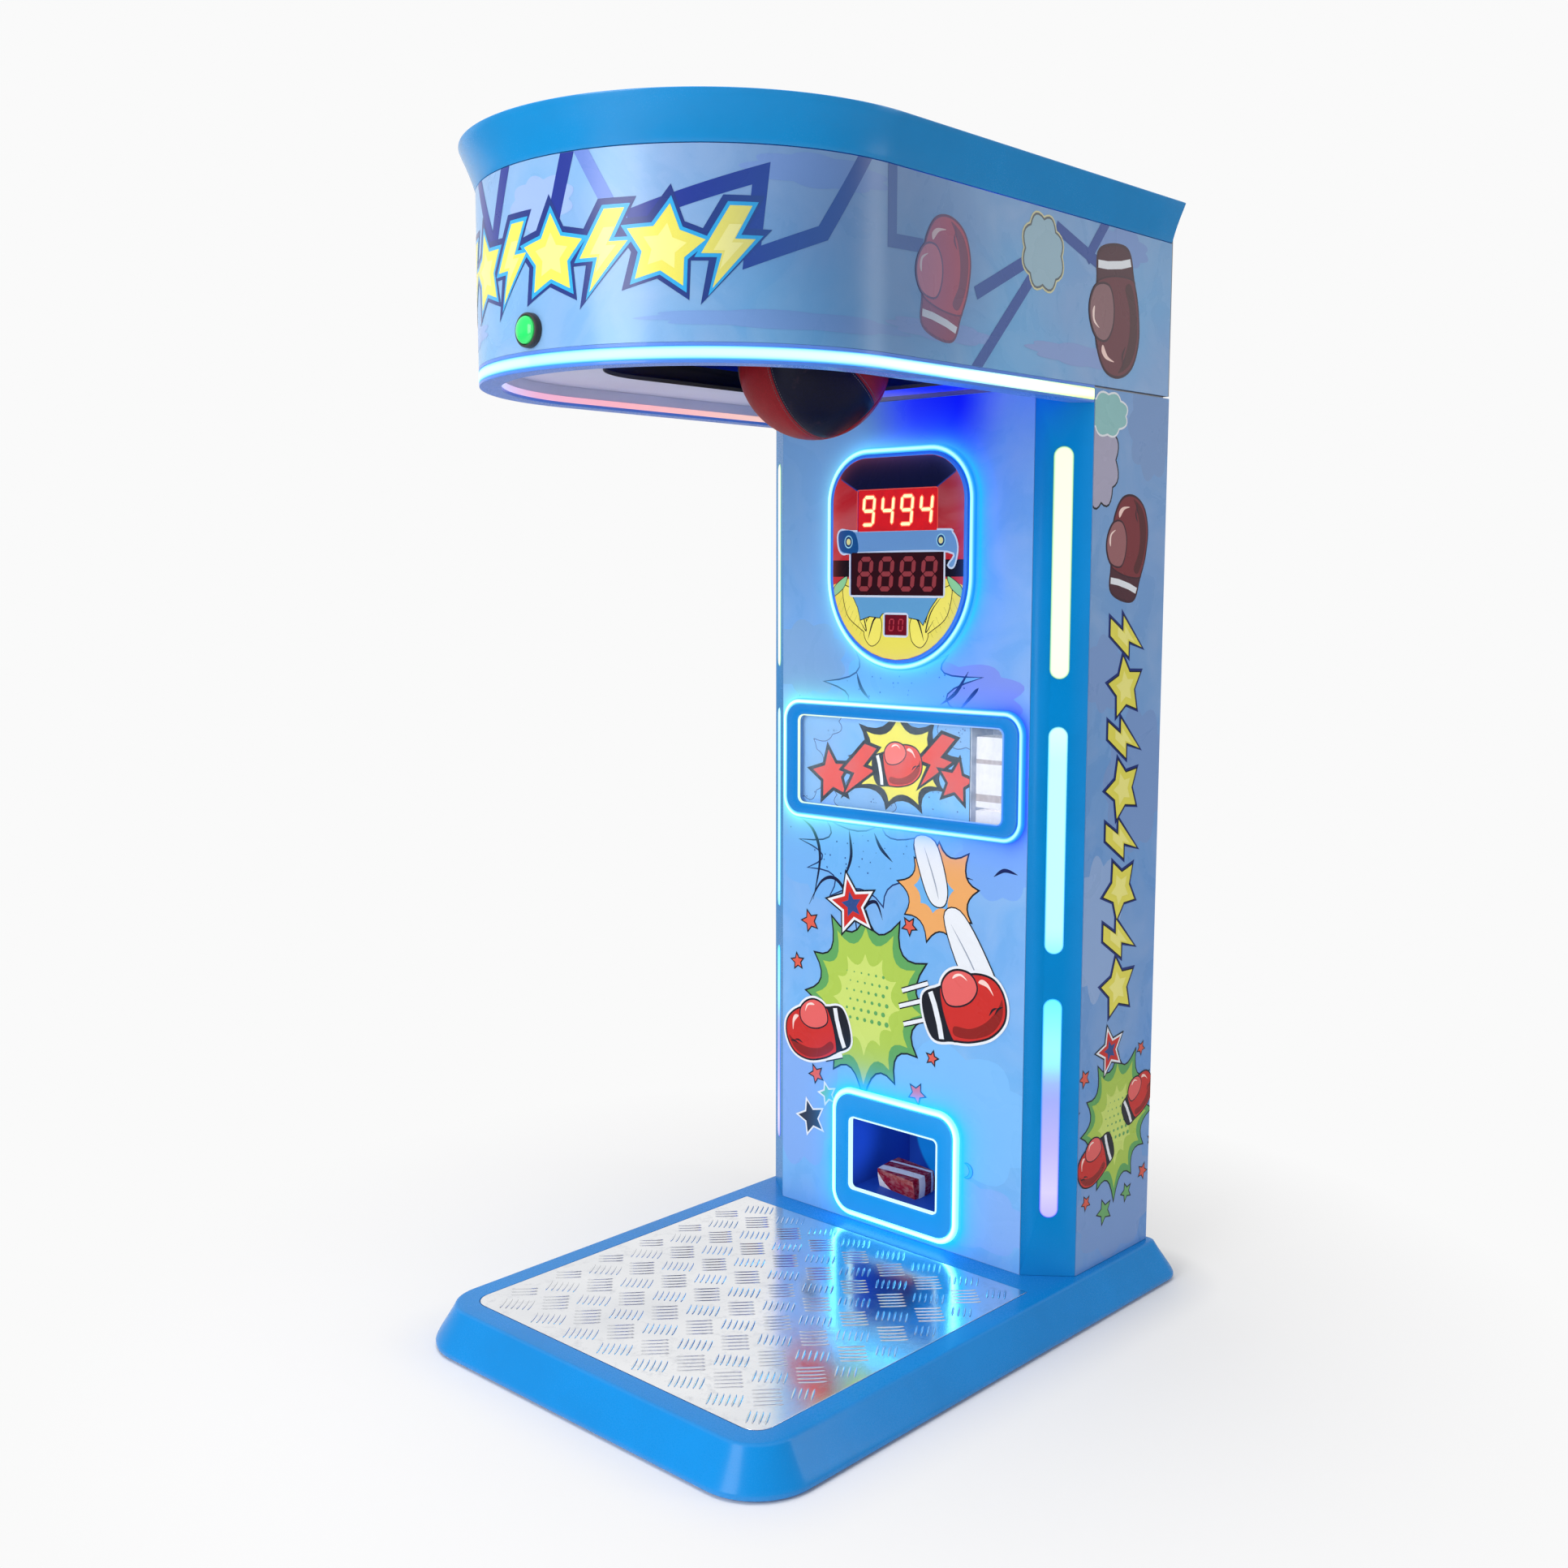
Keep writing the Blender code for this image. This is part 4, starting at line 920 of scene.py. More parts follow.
for spot, r in (((0.366, 0.15), 0.02), ((0.432, 0.165), 0.014)):
    side_art += outlined(laid(star(5, r, r * 0.48), spot, turn=20), tone(112, 176, 110), 3, 0.002)


def on_right(u, v, proud=0.0):
    return (side_high.x + proud, u, v)


def on_left(u, v, proud=0.0):
    return (-side_high.x - proud, -u, v)


side_limits = (side_low.y + 0.0006, side_high.y - 0.0006, side_low.z + 0.0006, side_high.z - 0.0006)
printed("side_film_right", on_right, side_art, side_print, side_limits)
left_art = []
for loops, colour, level in side_art:
    loops = loops if isinstance(loops[0][0], tuple) else [loops]
    left_art.append(([[(u - side_high.y - side_low.y, v) for u, v in loop] for loop in loops], colour,
        level))
printed("side_film_left", on_left, left_art, side_print, (-side_limits[1], -side_limits[0], side_limits[2],
    side_limits[3]))

# ---- Rear panel, door and lock ----
# Grey coated steel. The door hangs on a full-height piano hinge, has two rows of pressed louvres, and a
# chromed quarter-turn lock. The mains inlet sits in the fixed panel below it.

service_grey = coated("service_coat", tone(132, 136, 142), 0.45, grain=900.0, depth=0.0001)
bright = coated("bright_steel", tone(200, 202, 206), 0.28, grain=1800.0, mottle=0.1, Metallic=1.0)
chrome = coated("lock_chrome", tone(225, 226, 230), 0.1, grain=400.0, depth=0.00001, Metallic=1.0)
black = coated("black_plastic", tone(30, 31, 35), 0.38, grain=1100.0, depth=0.00008)
for name in ("rear_panel", "rear_door"):
    dress(name, service_grey, 0.0005)
for name in ("hinge_frame_leaf", "door_lock_cam"):
    dress(name, bright, 0.0003)
dress("hinge_pin", bright)
dress("power_inlet", black, 0.0008)

door_low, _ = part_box("rear_door")
panel_low, panel_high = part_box("rear_panel")
lock_low, lock_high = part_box("door_lock")
leaf_low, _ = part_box("hinge_frame_leaf")
door_back = door_low.y + 0.0041


def louvre(left, right, low, height, proud):
    """A pressed louvre: a shell that swells out of the sheet and opens downward."""
    rows = []
    for share in (0.0, 0.12, 0.3, 0.5, 0.7, 0.88, 1.0):
        swell = math.sin(math.pi * share) ** 0.5 * proud
        x = left + (right - left) * share
        rows.append([(x, door_back, low + height), (x, door_back + swell * 0.55, low + height * 0.72),
            (x, door_back + swell * 0.9, low + height * 0.35), (x, door_back + swell, low),
            (x, door_back + swell * 0.8, low - 0.0006), (x, door_back, low + height * 0.5)])
    return sweep(rows, loop=False, caps=True)


louvres = []
for level in (0.46, 1.16):
    for step in range(7):
        for left, right in ((-0.19, -0.03), (0.03, 0.19)):
            louvres.append(louvre(left, right, level + step * 0.022, 0.013, 0.0065))
piece("door_louvres", gathered(louvres), service_grey, body="rear_door_leaf")


def turned(centre, way, profile, steps=32):
    """A round piece about an axis through the centre: (radius, height along the axis) points, ends closed."""
    way = Vector(way).normalized()
    side = way.orthogonal().normalized()
    up = way.cross(side)
    rows = []
    for radius, height in profile:
        radius = max(radius, 0.00002)
        ring = [math.tau * step / steps for step in range(steps)]
        rows.append([tuple(Vector(centre) + way * height + (side * math.cos(a) + up * math.sin(a)) *
            radius) for a in ring])
    return sweep(rows, loop=False, caps=True)


def screw_head(centre, way, radius=0.0035, height=0.0016):
    """A domed machine screw with a round recess in its head."""
    dome = [(radius * 0.98, 0.0), (radius, height * 0.25), (radius * 0.9, height * 0.6),
        (radius * 0.66, height * 0.86), (radius * 0.34, height)]
    recess = [(radius * 0.3, height * 0.98), (radius * 0.12, height * 0.35)]
    return turned(centre, way, dome + recess, 16)


spots = [(x, z) for x in (-0.3, -0.1, 0.1, 0.3) for z in (panel_low.z + 0.018, panel_high.z - 0.018)]
piece("rear_screws", gathered([screw_head((x, panel_high.y - 0.0002, z), (0, 1, 0)) for x, z in spots]),
    bright)
leaf_screws = [screw_head((leaf_low.x + 0.007, door_back + 0.002, 0.36 + step * 0.148), (0, 1, 0), 0.0028,
    0.001) for step in range(8)]
piece("hinge_screws", gathered(leaf_screws), bright)
lock_middle = (lock_low + lock_high) / 2
face_profile = mm("9.4 -9.5, 9.4 0, 13 0.3, 13 1.4, 12.2 2.6, 11 3.3, 10.8 4.2, 9.5 4.8, 6.2 5, 5.8 4.4, "
    "3.2 4.4, 2.8 3.6")
piece("lock_barrel", turned((lock_middle.x, door_back, lock_middle.z), (0, 1, 0), face_profile, 40), chrome,
    body="rear_door_leaf", stands_for=["door_lock"])
key_slot = block((lock_middle.x - 0.0005, door_back + 0.0039, lock_middle.z - 0.0032),
    (lock_middle.x + 0.0005, door_back + 0.0051, lock_middle.z + 0.0032), 0.0002)
piece("key_slot", key_slot, black, body="rear_door_leaf")
inlet_low, inlet_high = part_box("power_inlet")
pins = []
for x, z in mm("-7 -2, 7 -2, 0 4"):
    middle_x, middle_z = (inlet_low.x + inlet_high.x) / 2 + x, (inlet_low.z + inlet_high.z) / 2 + z
    pins.append(block((middle_x - 0.002, inlet_high.y - 0.0004, middle_z - 0.001),
        (middle_x + 0.002, inlet_high.y + 0.001, middle_z + 0.001), 0.0003))
piece("inlet_pins", gathered(pins), bright)

# ---- Score display ----
# A badge-shaped housing in a raised neon-flex ring. Its face is a printed sheet with three windows of
# dark red filter film, and seven-segment digits shine through them.


def badge(draw_in, steps=16):
    """The display's outline: a flat top with round shoulders and a full round bottom."""
    reach = (display_high.x - display_low.x) / 2 - draw_in
    shoulder = 0.088 - draw_in
    loop = arc((reach - shoulder, display_high.z - draw_in - shoulder), shoulder, 0, 90, steps)
    loop += arc((shoulder - reach, display_high.z - draw_in - shoulder), shoulder, 90, 180, steps)
    return loop + arc((0.0, display_low.z + display_high.x), reach, 180, 360, 3 * steps)


def light_ring(name, outline, width, proud, node, hue, lens, core=0.25):
    """A soft-shouldered strip of diffuser bent round an outline, brightest along its middle."""
    shares = (0.0, 0.0, 0.08, 0.17, 0.26, 0.34, 0.42, 0.5, 0.58, 0.66, 0.74, 0.83, 0.92, 1.0, 1.0)
    rows = []
    for order, share in enumerate(shares):
        swell = 0.55 + 0.45 * (1 - abs(2 * share - 1) ** 2.2)
        out = 0.0 if order in (0, len(shares) - 1) else proud * swell
        rows.append([on_front(u, v, out) for u, v in outline(width * share)])
    made = piece(name, sweep(rows), lens, stands_for=[node], sharp=60)
    around = len(rows[0])

    def ring_colour(corner, index):
        inner, outer = hue(corner)
        bright = math.exp(-((shares[index // around] - 0.5) / core) ** 2)
        return between(outer, inner, bright)

    return lit(made, ring_colour)


def across_hue(low, high, left, right, left_rim, right_rim, upper=None):
    """The LEDs' colour drifts from left to right, and towards upper with height; its rims have their own."""

    def hue(corner):
        share = min(max((corner.x - low.x) / (high.x - low.x), 0.0), 1.0)
        colour = between(left, right, share)
        if upper:
            lift = min(max((corner.z - low.z) / (high.z - low.z), 0.0), 1.0) ** 2
            colour = between(colour, upper, 0.9 * lift * (1 - share) ** 0.6)
        return colour, between(left_rim, right_rim, share)

    return hue


ring_lens = lens_finish("ring_lens", 1.5)
light_ring("display_ring", badge, 0.011, 0.008, "display_light",
    across_hue(display_low, display_high, (0.48, 0.95, 0.66), (0.34, 0.95, 1.0), (0.03, 0.42, 0.46),
    (0.0, 0.18, 0.85)), ring_lens)

housing_blue = coated("housing_blue", tone(28, 120, 205), 0.3)
housing_low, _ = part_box("display_housing")
housing_face = face_low.y - housing_low.y
windows = {}
for name in ("score", "best", "credit"):
    low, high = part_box(name + "_display")
    windows[name] = ((low.x, low.z), (high.x, high.z))
dress("display_housing", housing_blue, 0.0006)

face_print = print_finish("display_print", tone(176, 20, 34), tone(158, 18, 36), tone(196, 30, 40),
    (1.1, 1.3), [(display_low, display_high, 0.088, 0.152, 0.01, tone(250, 120, 90), tone(40, 130, 255),
    0.45)])
shader = face_print.node_tree.nodes["Principled BSDF"]
shader.inputs["Coat Weight"].default_value = shader.inputs["Specular IOR Level"].default_value = 0.03
inner = badge(0.0172)
art = [(inner, SKY, 0)]


def inside_badge(loop, draw_in=0.0174):
    """Pulls an outline's points back inside the badge."""
    reach, rise = display_high.x - draw_in, display_high.z - draw_in
    middle_z = display_low.z + display_high.x
    shoulder = 0.088 - draw_in
    kept = []
    for u, v in loop:
        v = min(v, rise)
        if v < middle_z:
            far = math.hypot(u, v - middle_z)
            if far > reach:
                u, v = u * reach / far, middle_z + (v - middle_z) * reach / far
        u = max(min(u, reach), -reach)
        centre = (math.copysign(reach - shoulder, u), rise - shoulder)
        if abs(u) > abs(centre[0]) and v > centre[1]:
            far = math.hypot(u - centre[0], v - centre[1])
            if far > shoulder:
                u = centre[0] + (u - centre[0]) * shoulder / far
                v = centre[1] + (v - centre[1]) * shoulder / far
        kept.append((u, v))
    return kept


def along(points, steps=10):
    """More points on each straight side, so that a pulled-in outline follows its limit."""
    return [(a[0] + (b[0] - a[0]) * step / steps, a[1] + (b[1] - a[1]) * step / steps) for a,
        b in zip(points, points[1:] + points[:1]) for step in range(steps)]


cap = along(mm("-125 1375, -118 1326, -84 1308.5, 80 1308.5, 118 1330, 125 1375"))
art.append((inside_badge(cap), tone(6, 14, 52), 1))
art.append((stroke(mm("-118 1327, -84 1307.8, 80 1307.8, 118 1331"), 0.002, False), tone(40, 60, 130), 2))
score_near, score_far = windows["score"]
best_near, best_far = windows["best"]
credit_near, credit_far = windows["credit"]
field = along(mm("-150 1168, 150 1168, 150 1195, -150 1195"))
art.append((inside_badge(field), tone(14, 10, 22), 1))
yellow = inside_badge(along(mm("-150 1150, -100 1165, 100 1165, 150 1150, 150 1020, -150 1020")))
art.append((yellow, tone(232, 222, 92), 2))
for side in (-1, 1):
    for petal in (mm("112 1152, 86 1142, 70 1120, 60 1080, 78 1086, 104 1108"),
            mm("58 1100, 40 1106, 30 1094, 34 1066, 52 1056, 66 1074")):
        petal = soft([(side * u, v) for u, v in petal], 4)
        art.append((inside_badge(grown(petal, 0.0014)), tone(60, 52, 24), 3))
        art.append((inside_badge(petal), tone(240, 230, 104), 4))
label = mm("-96 1145, 92 1145, 70 1118, 56 1092, 48 1100, 28 1103, 24 1109, -28 1109, -34 1102, -55 1104, "
    "-74 1098, -80 1118")
art.append((grown(label, 0.0014), INK, 5))
art.append((label, tone(96, 158, 204), 6))
for side in (-1, 1):
    leaf = soft([(side * 0.104, 1.168), (side * 0.112, 1.15), (side * 0.134, 1.136), (side * 0.132, 1.15),
        (side * 0.118, 1.162)], 4)
    art += outlined(inside_badge(leaf), tone(140, 206, 150), 4, 0.0012)
    for step in range(7):
        start = (side * (0.066 + step * 0.008), 1.09 + step * 0.0075)
        end = (start[0] + side * 0.01, start[1] - 0.018)
        art.append((inside_badge(stroke([start, end], 0.0022)), tone(54, 48, 26), 5))
    petal = curve([(side * 0.03, 1.106), (side * 0.046, 1.098), (side * 0.058, 1.066)])
    art.append((stroke(petal, 0.003), INK, 5))
    petal = curve([(side * 0.094, 1.138), (side * 0.072, 1.112), (side * 0.062, 1.08),
        (side * 0.078, 1.1)])
    art.append((inside_badge(stroke(petal, 0.0022)), INK, 5))
for near, far, edge, colour, level in ((best_near, best_far, 0.0034, tone(206, 216, 232), 7),
        (credit_near, credit_far, 0.0034, tone(206, 216, 232), 7),
        (score_near, score_far, 0.0018, tone(236, 84, 74), 3)):
    art.append((rounded(near, far, 0.003, -edge, 4), colour, level))
ribbon = soft(mm("-118 1243, -80 1240.5, 90 1240.5, 112 1236, 122 1214, 116 1186, 106 1186, 104 1208.5, "
    "-80 1208.5, -114 1207, -123 1224"), 5)
art.append((inside_badge(grown(ribbon, 0.003)), tone(196, 214, 236), 8))
art.append((inside_badge(ribbon), tone(104, 152, 204), 9))
end_cap = soft(mm("-119 1242, -88 1240, -81 1208, -112 1208, -122 1222"), 5)
art.append((inside_badge(end_cap), tone(22, 80, 140), 10))
for u in (-0.101, 0.09):
    for reach, colour, level in ((0.0105, tone(150, 210, 230), 11), (0.0085, tone(20, 60, 112), 12),
            (0.0052, tone(220, 220, 150), 13)):
        art.append((laid(ring_of(24, reach * 0.85, reach), (u, 1.225)), colour, level))


def on_badge(u, v, proud=0.0):
    return (u, housing_low.y - proud, v)


printed("display_face", on_badge, art, face_print, (-0.2, 0.2, 1.0, 1.4),
    gaps=windows.values())
flange = [(0.0118, housing_face - 0.0004), (0.012, housing_face + 0.0006), (0.0136, housing_face + 0.0014),
    (0.0156, housing_face + 0.0014), (0.017, housing_face + 0.0008), (0.0172, housing_face)]
rows = [[on_front(u, v, out) for u, v in badge(draw_in)] for draw_in, out in flange]
# The bead is given a faint painted glow in blue.
bead_blue_painted_glow = coated("bead_blue_painted_glow", tone(10, 110, 215), 0.25, Emission_Color=tone(0, 90, 230),
    Emission_Strength=0.25)
piece("display_bead", sweep(rows), bead_blue_painted_glow, sharp=60)

# The digits stand behind the filters' front skin: bright for the score, a dim ghost for the best score.
SEGMENTS = {"0": "abcdef", "4": "bcfg", "8": "abcdefg", "9": "abcdfg"}


def digit_shapes(sign, centre, wide, high, thick, lean=0.09):
    """The lit bars of one seven-segment digit."""
    u, v = wide / 2, high / 2
    ends = {"a": ((-u, v), (u, v)), "b": ((u, v), (u, 0)), "c": ((u, 0), (u, -v)), "d": ((-u, -v), (u, -v)),
        "e": ((-u, 0), (-u, -v)), "f": ((-u, v), (-u, 0)), "g": ((-u, 0), (u, 0))}
    shapes = []
    for name in SEGMENTS[sign]:
        start, end = Vector(ends[name][0]), Vector(ends[name][1])
        way = (end - start).normalized()
        off = Vector((-way.y, way.x)) * thick / 2
        start, end = start + way * thick * 0.16, end - way * thick * 0.16
        tip = way * thick / 2
        loop = [start, start + tip + off, end - tip + off, end, end - tip - off, start + tip - off]
        shapes.append([(centre[0] + p.x + p.y * lean, centre[1] + p.y) for p in loop])
    return shapes


def filter_finish(name, colour, strength):
    """Red filter film, lit from behind by the display, with the digit cells' faint pattern in it."""
    material, tree, shader = new_finish(name, Roughness=0.12, Emission_Strength=strength,
        Specular_IOR_Level=0.04)
    place = join(tree, "TexCoord", out=3)
    grid = join(tree, "TexVoronoi", {"Vector": place, "Scale": 700.0})
    cloud = noise(tree, place, 40.0, 3.0)
    share = sum_of(tree, "ADD", ramped(tree, grid, 0.0, 0.6, 0.0, 0.25),
        ramped(tree, cloud, 0.3, 0.7, 0.0, 0.3))
    glow = tinted(tree, share, colour, shaded(colour, 0.35))
    drive(tree, Emission_Color=glow)
    drive(tree, Base_Color=tinted(tree, share, shaded(colour, 0.3), INK))
    return material


def digit_finish(name, colour, strength):
    material, tree, shader = new_finish(name, Roughness=0.4, Emission_Strength=strength)
    place = join(tree, "TexCoord", out=3)
    cells = join(tree, "TexVoronoi", {"Vector": place, "Scale": 420.0})
    glow = tinted(tree, ramped(tree, cells, 0.0, 0.7, 0.0, 0.35), colour, shaded(colour, 0.6))
    drive(tree, Emission_Color=glow)
    drive(tree, Base_Color=glow)
    return material


dress("score_display", filter_finish("score_filter", tone(226, 26, 36), 0.85), 0.0004)
dress("best_display", filter_finish("dim_filter", tone(56, 6, 16), 0.5), 0.0004)
dress("credit_display", filter_finish("credit_filter", tone(128, 12, 34), 0.6), 0.0004)


def raised(loop, bed, base, proud):
    """A flat shape with a little thickness."""
    if area(loop) < 0:
        loop = loop[::-1]
    rows = [[bed(u, v, base) for u, v in loop], [bed(u, v, proud) for u, v in loop]]
    return sweep(rows, loop=False, caps=True)


score_low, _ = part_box("score_display")
filter_face = face_low.y - score_low.y
for name, signs, pitch, wide, high, thick, finish in (("score", "9494", 0.0395, 0.0215, 0.044, 0.0048,
        digit_finish("score_digits", tone(255, 226, 160), 1.0)),
        ("best", "8888", 0.044, 0.024, 0.048, 0.008, digit_finish("best_digits", tone(112, 16, 32),
        0.6)), ("credit", "00", 0.019, 0.0085, 0.018, 0.0022,
        digit_finish("credit_digits", tone(150, 20, 44), 0.5))):
    (left, bottom), (right, above) = windows[name]
    skins, halos = [], []
    for order, sign in enumerate(signs):
        centre = ((left + right) / 2 + (order - (len(signs) - 1) / 2) * pitch, (bottom + above) / 2)
        for loop in digit_shapes(sign, centre, wide, high, thick):
            skins.append(raised(loop, on_front, filter_face + 0.0001, filter_face + 0.0005))
            halos.append(raised(grown(loop, 0.0016), on_front, filter_face,
                filter_face + 0.0002 + 0.00001 * len(halos)))
    piece(name + "_digits", gathered(skins), finish)
    if name == "score":
        piece("score_glow", gathered(halos), digit_finish("score_halo", tone(255, 92, 66), 0.9))

# ---- Prize window ----
# A blue frame with a neon-flex ring round it and a thin light lining its opening. Behind the clear pane
# hang a printed card and the column of prize packs, pushed out one by one at the bottom.

# The frame is given a faint painted glow in blue.
window_blue_painted_glow = coated("window_frame_blue_painted_glow", tone(4, 128, 204), 0.28, Emission_Color=tone(0, 100, 220),
    Emission_Strength=0.1)


def upright(near, far, radius):
    return lambda draw_in: rounded(near, far, radius, draw_in)


light_ring("window_ring", upright(window_near, window_far, 0.037), ring_width, 0.0078, "window_light",
    across_hue(window_low, window_high, (0.55, 1.0, 0.85), (0.34, 0.95, 1.0), (0.02, 0.42, 0.6),
    (0.0, 0.16, 0.85), (0.85, 0.95, 0.6)), ring_lens)


def framed(name, near, far, radius, gap, gap_radius, node, finish):
    """A moulded frame: outer wall, round shoulder, slightly dished face, and the lip of the opening."""
    start = ring_width + 0.0003
    rows = []
    for draw_in, out in ((start, 0.0), (start, 0.007), (start + 0.0006, 0.0084), (start + 0.002, 0.009)):
        rows.append([on_front(u, v, out) for u, v in rounded(near, far, radius, draw_in)])
    for grow, out in mm("6 8.6, 1.6 8, 0.6 7.4, 0.2 6.2, 0.2 0"):
        rows.append([on_front(u, v, out) for u, v in rounded(*gap, gap_radius, -grow)])
    return piece(name, sweep(rows), finish, stands_for=[node], sharp=60)


framed("window_surround", window_near, window_far, 0.037, window_gap, 0.012, "window_frame", window_blue_painted_glow)
lining_lens = lens_finish("lining_lens", 1.2)


def lining(name, gap, radius, hue, thick=0.0022, front=0.0092, back=-0.0038):
    """A thin strip of diffuser that lines an opening's edge."""
    section = [(0.0001, back), (0.0001, front - 0.0004), (0.0005, front), (thick - 0.0004, front),
        (thick, front - 0.0004), (thick, back)]
    rows = [[on_front(u, v, out) for u, v in rounded(*gap, radius, draw_in)] for draw_in, out in section]
    made = piece(name, sweep(rows), lining_lens, sharp=60)
    return lit(made, lambda corner, index: hue(corner)[0])


lining("window_lining", window_gap, 0.012, across_hue(window_low, window_high, (0.62, 0.85, 0.55),
    (0.02, 0.2, 0.85), (0, 0, 0), (0, 0, 0), (0.8, 0.9, 0.55)), thick=0.0016, back=0.004)

pane, tree, shader = new_finish("window_pane", IOR=1.49)
shader.inputs["Base Color"].default_value = tone(200, 226, 244)
place = join(tree, "TexCoord", out=3)
smears = noise(tree, place, 14.0, 6.0, Distortion=0.8)
drive(tree, Roughness=ramped(tree, smears, 0.4, 0.8, 0.03, 0.12))
drive(tree, Alpha=ramped(tree, smears, 0.4, 0.8, 0.06, 0.12))
dress("window_panel", pane)

pane_low, pane_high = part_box("window_panel")
store_low, store_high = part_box("prize_magazine")
# The card is given a painted glow in its own colour, to lighten it behind the pane.
card_print = print_finish("card_print", tone(104, 184, 240), tone(100, 172, 236), tone(126, 170, 246),
    (0.8, 0.9), painted_glow_strength=0.28)
card_edge = store_low.x - 0.0015
card = [(pane_low.x + 0.002, pane_low.z + 0.002), (card_edge, pane_low.z + 0.002),
    (card_edge, pane_high.z - 0.002), (pane_low.x + 0.002, pane_high.z - 0.002)]
art = [(card, SKY, 0)]
for centre, wide, high in (((-0.19, 0.925), 0.055, 0.03), ((-0.215, 0.84), 0.04, 0.05),
        ((0.13, 0.935), 0.05, 0.035), ((-0.08, 0.8), 0.06, 0.03)):
    art += outlined(laid(puff(8, wide, high, seed=int(wide * 999)), centre), tone(128, 178, 226), 1, 0.0012,
        tone(40, 60, 120))
for _ in range(60):
    spot = (chance.uniform(-0.21, 0.13), chance.choice((0.805, 0.92)) + chance.gauss(0, 0.012))
    art.append((laid(ring_of(6, 1, 1), spot, chance.uniform(0.0007, 0.0016)), tone(52, 90, 160), 3))
blast = laid(burst(9, 0.124, 0.092, 0.52, 0.16, seed=21, turn=14), (-0.004, 0.86))
art.append((blast, INK, 4))
art.append((laid(burst(9, 0.101, 0.074, 0.54, 0.16, seed=21, turn=14), (-0.003, 0.86)), tone(236, 226, 84),
    5))
coral = tone(226, 70, 56)
art += outlined(laid(star(5, 0.043, 0.021, 100), (-0.152, 0.834)), coral, 6, 0.006)
art += outlined(laid(BOLT, (-0.092, 0.846), 0.094, -14), coral, 8, 0.006)
art += outlined(laid(BOLT, (0.07, 0.872), 0.094, -14), coral, 10, 0.006)
art += outlined(laid(star(5, 0.034, 0.016, 80), (0.112, 0.842)), coral, 12, 0.005)
art += glove_art((-0.008, 0.858), 0.104, turn=12, level=14, red=coral)


def on_card(u, v, proud=0.0):
    return (u, pane_high.y + 0.0016 - proud, v)


printed("window_card", on_card, art, card_print, (card[0][0], card_edge, card[0][1], card[2][1]))

galvanised, tree, shader = new_finish("galvanised_steel", Metallic=0.5)
place = join(tree, "TexCoord", out=3)
spangle = join(tree, "TexVoronoi", {"Vector": place, "Scale": 90.0}, out=1)
spangle = join(tree, "SeparateXYZ", {0: spangle})
drive(tree, Base_Color=tinted(tree, spangle, tone(190, 204, 228), tone(222, 230, 244)))
drive(tree, Roughness=ramped(tree, spangle, 0.0, 1.0, 0.28, 0.5))
dress("prize_magazine", galvanised, 0.0003)
white_plastic = coated("white_plastic", tone(226, 226, 220), 0.38)
dress("vend_pusher", white_plastic, 0.001)
dress("vend_solenoid", black, 0.0015)


def pack(centre, size, turn=0.0, tilt=0.0, bulge=0.12):
    """A soft-sided carton: round edges, and faces that swell a little in the middle."""
    steps = 8
    corners, faces, where = [], [], {}
    spin = Matrix.Rotation(math.radians(turn), 3, "Z") @ Matrix.Rotation(math.radians(tilt), 3, "X")
    for axis in range(3):
        for side in (-1, 1):
            for row in range(steps):
                for column in range(steps):
                    face = []
                    for a, b in ((row, column), (row, column + 1), (row + 1, column + 1), (row + 1, column)):
                        cube = [0, 0, 0]
                        cube[axis] = side * steps
                        cube[(axis + 1) % 3], cube[(axis + 2) % 3] = 2 * a - steps, 2 * b - steps
                        key = tuple(cube)
                        if key not in where:
                            where[key] = len(corners)
                            unit = Vector(key) / steps
                            round_out = unit.normalized() * (1.0 + bulge)
                            spot = unit.lerp(round_out, bulge)
                            spot = Vector([spot[k] * size[k] / 2 for k in range(3)])
                            corners.append(tuple(Vector(centre) + spin @ spot))
                        face.append(where[key])
                    faces.append(tuple(face))
    return corners, faces


def carton_finish(name, ground, band, axis, lows, highs, glow=0.0):
    """Printed card with plain bands of a second colour between heights along one axis."""
    material, tree, shader = new_finish(name, Coat_Weight=0.2, Emission_Color=ground, Emission_Strength=glow)
    place = join(tree, "TexCoord", out=0)
    along_axis = join(tree, "SeparateXYZ", {0: place}, out=axis)
    share = None
    for low, high in zip(lows, highs):
        above = sum_of(tree, "GREATER_THAN", along_axis, low)
        below = sum_of(tree, "LESS_THAN", along_axis, high)
        both = sum_of(tree, "MULTIPLY", above, below)
        share = both if share is None else sum_of(tree, "MAXIMUM", share, both)
    creases = noise(tree, place, 9.0, 6.0)
    base = tinted(tree, share, ground, band)
    base = tinted(tree, ramped(tree, creases, 0.45, 0.75, 0.0, 0.16), base, CHALK)
    drive(tree, Base_Color=base)
    drive(tree, Roughness=ramped(tree, creases, 0.3, 0.7, 0.2, 0.4))
    emboss(tree, creases, 0.5, 0.0006)
    return material


# The stored packs are given a painted glow in their ground colour.
stock_card = carton_finish("white_carton", tone(232, 230, 234), tone(150, 132, 136), 2, (0.1, 0.62),
    (0.2, 0.68), 0.3)
pack_height = 0.117
for step in range(4):
    spot = ((store_low.x + store_high.x) / 2, store_low.y + 0.03,
        store_low.z + pack_height * (step + 0.5) + 0.0005 * step)
    piece(f"stored_prize_{step + 1}", pack(spot, (0.068, 0.05, pack_height - 0.002), bulge=0.07),
        stock_card, sharp=70)

# ---- Prize chute ----
# The same blue frame and rings round an open tray of dark blue sheet. A won prize lies in it.

